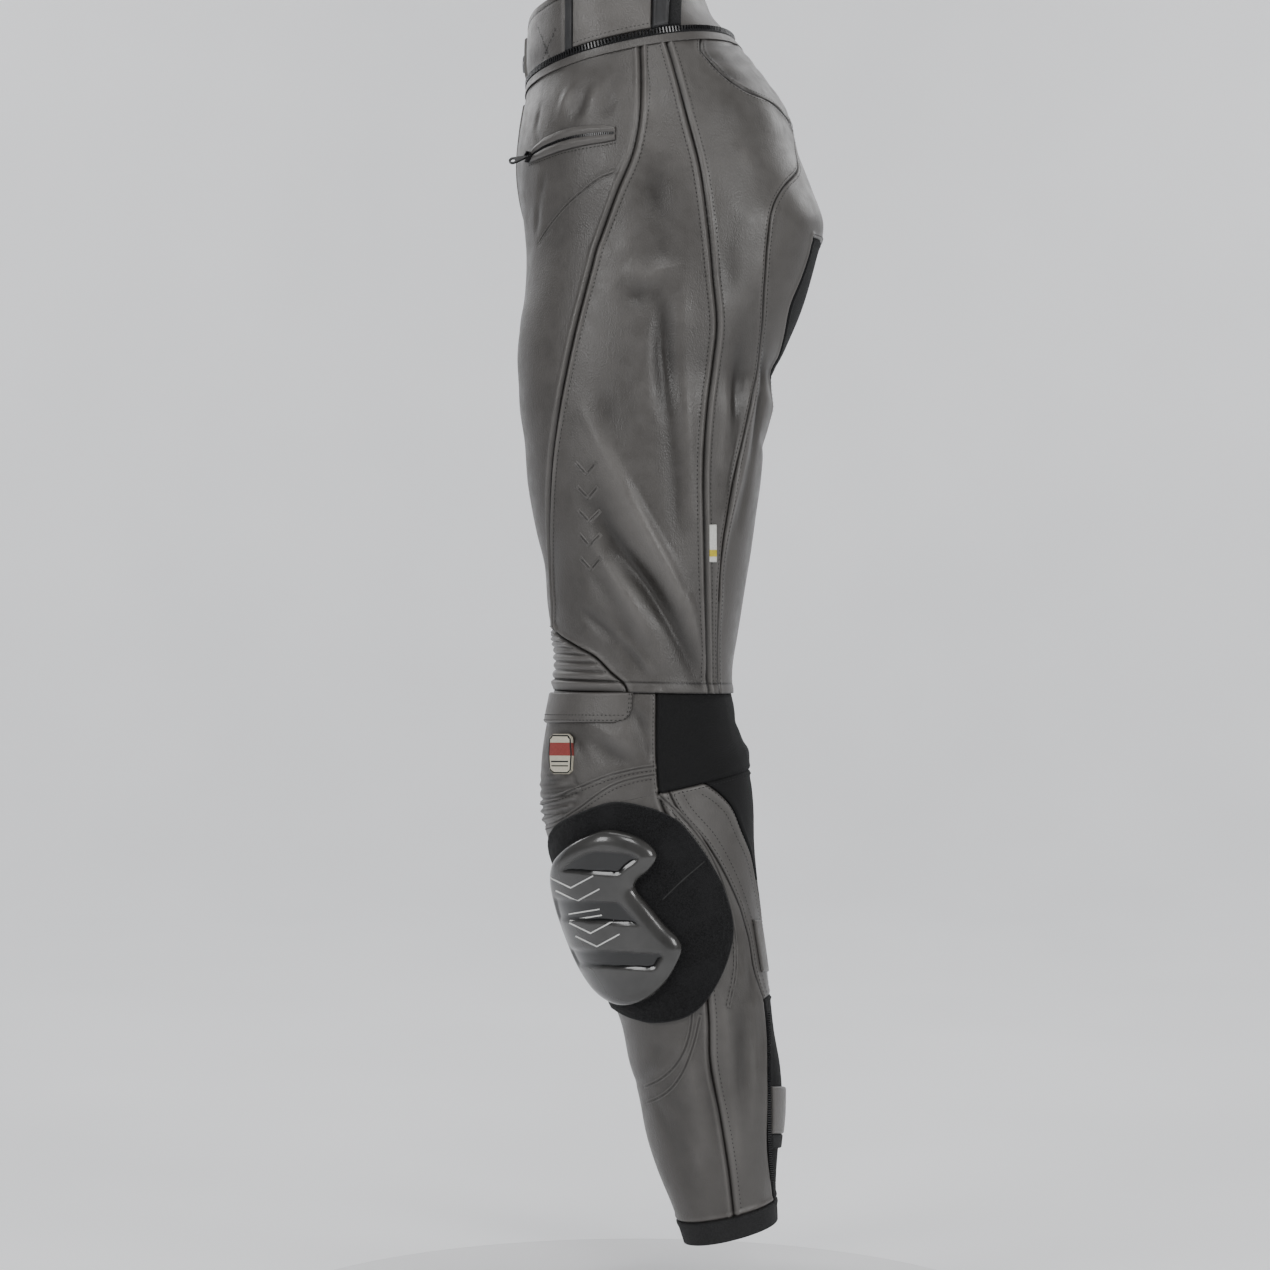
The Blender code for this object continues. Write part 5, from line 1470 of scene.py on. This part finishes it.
def front_strip(name, depths, widths):
    """A piece laid across the middle of the front: half its width in X at each depth."""
    low, high = -end_angle(depths), np.zeros(depths.shape)
    edge = halve(low, high, lambda angle: form(depths, angle)[..., 0] < widths)
    u = stops(-1.0, 1.0, 2 * STRIP_COLUMNS)
    angles = low[:, None] + (edge - low)[:, None] * np.abs(u)
    point, normal = lifted(np.broadcast_to(depths[:, None], angles.shape), angles)
    flip = np.where(u < 0, -1.0, 1.0)[None, :, None] * np.array((1.0, 0, 0)) + np.array((0, 1.0, 1.0))
    point, normal = point * flip, normal * flip
    point[:, STRIP_COLUMNS, 0] = 0
    normal[:, STRIP_COLUMNS, 0] = 0
    away = rim_distance(point)
    points = point + normal * padded_edge(away, OVERLAY_GAP + STRIP_THICK, 2.0)[..., None]
    marks = {"relief": np.full(away.shape, 0.7), "seam": 0.7 * np.exp(-((away - 3.5) / 0.8) ** 2)}
    made = build(f"{name}_cover", points, grid_faces(*away.shape), "leather",
                 marks=marks, replaced=(name,))
    return cut(made, name)


def fastenings():
    """Fly flap, waist tab with its snap, side label, and calf tab with its binding."""
    fly = stops(*FLY_DEPTHS, 90)
    front_strip("fly_flap", fly, np.interp(fly, FLY_DEPTHS, FLY_WIDTHS))
    tab = stops(*TAB_DEPTHS, 30)
    front_strip("waist_tab", tab, np.full(tab.shape, float(TAB_WIDTH)))
    snap()
    z, left, right = np.array(LABEL, float).T
    label = patch(z, place(left, z)[1], place(right, z)[1], 30, 8)

    def label_kinds(point, away):
        zz = seen(point)[1][:-1, :-1]
        return ((zz < -415) & (zz > -421)).astype(int).ravel()

    overlay("side_label", label, ("label", "label_yellow"), False, "", OVERLAY_GAP + LABEL_THICK,
            0.6, kinds=label_kinds)
    z = np.array(CALF_TAB_Z, float)
    left = place(np.full(z.shape, CALF_TAB_Y), z)[1]
    tab_place = patch(z, left, np.full(z.shape, math.radians(CALF_TAB_END_DEGREES)), 26, 44)
    edge_z = np.array((CALF_TAB_Z[1] + 0.5, CALF_TAB_Z[1] - 12.0))
    edge_left = place(np.full(z.shape, CALF_TAB_Y), edge_z)[1]
    edge_place = patch(edge_z, edge_left, np.full(z.shape, math.radians(CALF_TAB_END_DEGREES)), 12, 44)
    for side, mirror in SIDES:
        overlay("calf_tab", tab_place, "leather", mirror, side, OVERLAY_GAP + CALF_TAB_THICK, 2.0)
        overlay("calf_tab_binding", edge_place, "binding", mirror, side,
                OVERLAY_GAP + CALF_TAB_THICK - 0.6, 2.0)


def snap():
    """The waist snap: a domed cap with a rim, turned round its own axis."""
    depth, angle = np.array([SNAP_DEPTH], float), np.array([-end_angle(float(SNAP_DEPTH))])
    point, _, _, normal = (part[0] for part in metric(depth, angle))
    point, normal = point * (0, 1, 1), normal * (0, 1, 1)
    normal /= np.linalg.norm(normal)
    up = np.cross(normal, (1.0, 0.0, 0.0))
    foot = OVERLAY_GAP + STRIP_THICK + SNAP_GAP
    profile = ((1.0, 0.0), (1.0, 0.55), (0.95, 0.75), (0.86, 0.85), (0.78, 0.72), (0.7, 0.74),
               (0.5, 0.9), (0.25, 0.98), (0.02, 1.0))
    turns = np.linspace(0, 2 * math.pi, SNAP_TURNS, endpoint=False)
    points = [point + normal * (foot + SNAP_HEIGHT * h)
              + SNAP_RADIUS * r * (np.array((1.0, 0, 0)) * math.cos(t) + up * math.sin(t))
              for r, h in profile for t in turns]
    faces = grid_faces(len(profile), SNAP_TURNS, closed=True)
    build("waist_snap_cap", points, faces, "metal", replaced=("waist_snap",))


def pocket():
    """Hip pocket: soft welts over and under the zip's teeth."""
    y, upper, lower = np.array(POCKET, float).T
    fine = stops(y[0], y[-1], 90)
    top, foot = np.interp(fine, y, upper), np.interp(fine, y, lower)
    v = stops(0.0, 1.0, 30)[:, None]
    z = top * (1 - v) + foot * v
    depth, angle = place(np.broadcast_to(fine, z.shape), z)
    heights = np.interp(v, np.linspace(0, 1, len(WELT_HEIGHTS)), WELT_HEIGHTS)
    shaped = OVERLAY_GAP + heights + 0.5 * np.sin(math.pi * np.clip(v * 2, 0, 1)) \
        + 0.5 * np.sin(math.pi * np.clip(2 - v * 2, 0, 1))
    groove = 1.1 * np.exp(-((v - 0.5) / 0.07) ** 2)

    def welts(point, away):
        edge = np.clip(away / 2.0, 0, 1)
        return (shaped - groove) * np.sqrt(1 - (1 - edge) ** 2)

    for side, mirror in SIDES:
        overlay("pocket_welt", (depth, angle), "leather", mirror, side, 0.0, extra=welts)
    middle = depth[15], angle[15]
    line, _ = lifted(*middle, OVERLAY_GAP + 0.6)
    for side, mirror in SIDES:
        teeth_row(f"pocket_zip_teeth_{side}", line, 1.7, (1.0, 2.2, 0.9), (0, 0, 1), mirror)
    below = depth[-1] + 2.2, angle[-1]
    stitch(below, None, 0.5)


def small_trim():
    """The leg zip's teeth on the calf seam, and a leather garage above them."""
    line = sideways(((124, -803), (125, -840), (125, -880), (126, -920), (128, -948)))
    path, _ = lifted(*line, LEG_ZIP_LIFT)
    for side, mirror in SIDES:
        teeth_row(f"leg_zip_teeth_{side}", path, 1.9, (1.2, 3.0, 1.3), (0, 1, 0), mirror)
    z = np.array((-726.0, -770.0))
    left, right = (place(np.array(y, float), z)[1] for y in ((112, 119), (118, 125)))
    garage = patch(z, left, right, 30, 12)
    for side, mirror in SIDES:
        overlay("zip_garage", garage, "leather", mirror, side, 1.8, 1.4)


def finish_cad_nodes():
    """The nodes that stay: the pocket zip's sliders get the teeth's look, and their pulls dark metal."""
    for name, node in frame["nodes"].items():
        if name.startswith(("pocket_slider", "pocket_pull")):
            node.data.materials.clear()
            node.data.materials.append(LOOKS["dark_metal" if "pull" in name else "teeth"])


def light(name, place_at, target, size, power):
    """A soft square light that points at a target, in metres."""
    data = bpy.data.lights.new(name, "AREA")
    data.size = size
    data.energy = power
    made = bpy.data.objects.new(name, data)
    made.location = place_at
    way = np.array(target, float) - np.array(place_at, float)
    yaw, drop = math.atan2(way[1], way[0]), math.atan2(np.hypot(way[0], way[1]), -way[2])
    made.rotation_euler = (drop, 0, yaw - math.pi / 2)
    bpy.context.scene.collection.objects.link(made)


def stage():
    """Camera, pale floor, backdrop and soft studio light."""
    data = bpy.data.cameras.new("camera")
    data.sensor_width = SENSOR
    distance = EYE[0] - VIEW_PLANE_X
    data.lens = SENSOR * distance / (PHOTO_SIDE * MM_PER_PIXEL)
    data.clip_end = 50.0
    camera = bpy.data.objects.new("camera", data)
    camera.location = [part * MM for part in EYE]
    camera.rotation_euler = (math.pi / 2, 0, math.pi / 2)
    bpy.context.scene.collection.objects.link(camera)
    bpy.context.scene.camera = camera
    floor, tree, shader, where = nodes_of("floor", 0.75)
    shade = texture(tree, "Noise", where, 3, Detail=2.0).outputs["Fac"]
    tree.links.new(ramp(tree, shade, (0.70, 0.705, 0.72), (0.74, 0.745, 0.76)), shader.inputs["Base Color"])
    shader.inputs["Emission Color"].default_value = (0.97, 0.98, 1.0, 1.0)
    shader.inputs["Emission Strength"].default_value = FLOOR_GLOW
    disc, disc_tree, disc_shader, _ = nodes_of("disc", 0.6)
    disc_shader.inputs["Base Color"].default_value = (0.9, 0.9, 0.91, 1.0)
    floor_z = FLOOR_Z - DISC_EDGE
    profile = [(FLOOR_FRONT, floor_z)]
    profile += [(WALL_X + WALL_ROUND * (1 - math.sin(t)), floor_z + WALL_ROUND * (1 - math.cos(t)))
                for t in np.linspace(0, math.pi / 2, 24)]
    profile += [(WALL_X, WALL_TOP)]
    points = [(x, y, z) for y in (-FLOOR_HALF_WIDTH, FLOOR_HALF_WIDTH) for x, z in profile]
    count = len(profile)
    faces = [(k, k + 1, k + 1 + count, k + count) for k in range(count - 1)]
    backdrop = stage_mesh("backdrop", points, faces, floor)
    turns = np.linspace(0, 2 * math.pi, 128, endpoint=False)
    rings = ((0.0, FLOOR_Z), (DISC_RADIUS - DISC_EDGE, FLOOR_Z), (DISC_RADIUS, FLOOR_Z - DISC_EDGE / 2),
             (DISC_RADIUS, floor_z))
    points = [(DISC_CENTRE[0] + r * math.cos(t), DISC_CENTRE[1] + r * math.sin(t), z)
              for r, z in rings for t in turns]
    faces = [face[::-1] for face in grid_faces(len(rings), len(turns), closed=True)]
    table = stage_mesh("turntable", points, faces, disc)
    world = bpy.data.worlds.new("studio")
    world.use_nodes = True
    world.node_tree.nodes["Background"].inputs["Color"].default_value = (0.93, 0.95, 1.0, 1.0)
    world.node_tree.nodes["Background"].inputs["Strength"].default_value = SKY_STRENGTH
    bpy.context.scene.world = world
    for row in LIGHTS:
        light(*row)


def stage_mesh(name, points, faces, look):
    """A part of the stage, in metres."""
    mesh = bpy.data.meshes.new(name)
    mesh.from_pydata(points, [], faces)
    mesh.materials.append(look)
    mesh.shade_smooth()
    made = bpy.data.objects.new(name, mesh)
    bpy.context.scene.collection.objects.link(made)
    return made


def main():
    """The seams first, then the pieces from the waist to the hem, and the stage."""
    relief = Relief()
    depths = fine_rows(THIGH_MARKS, THIGH_ROWS)
    low_depths = fine_rows(SHIN_MARKS, SHIN_ROWS)
    thigh, shin = thigh_seams(depths), shin_seams(low_depths)
    rows, tooled = seam_plan(relief, depths, thigh, low_depths, shin)
    for line, offset in rows:
        stitch(beside(line, offset), relief, 0.15)
    yoke_half = thigh_pieces(relief, depths, thigh)
    shin_pieces(relief, low_depths, shin)
    tooled_lines(tooled, relief)
    knee_overlays()
    waist_pieces(relief, yoke_half)
    fastenings()
    pocket()
    small_trim()
    sew()
    finish_cad_nodes()
    stage()


main()
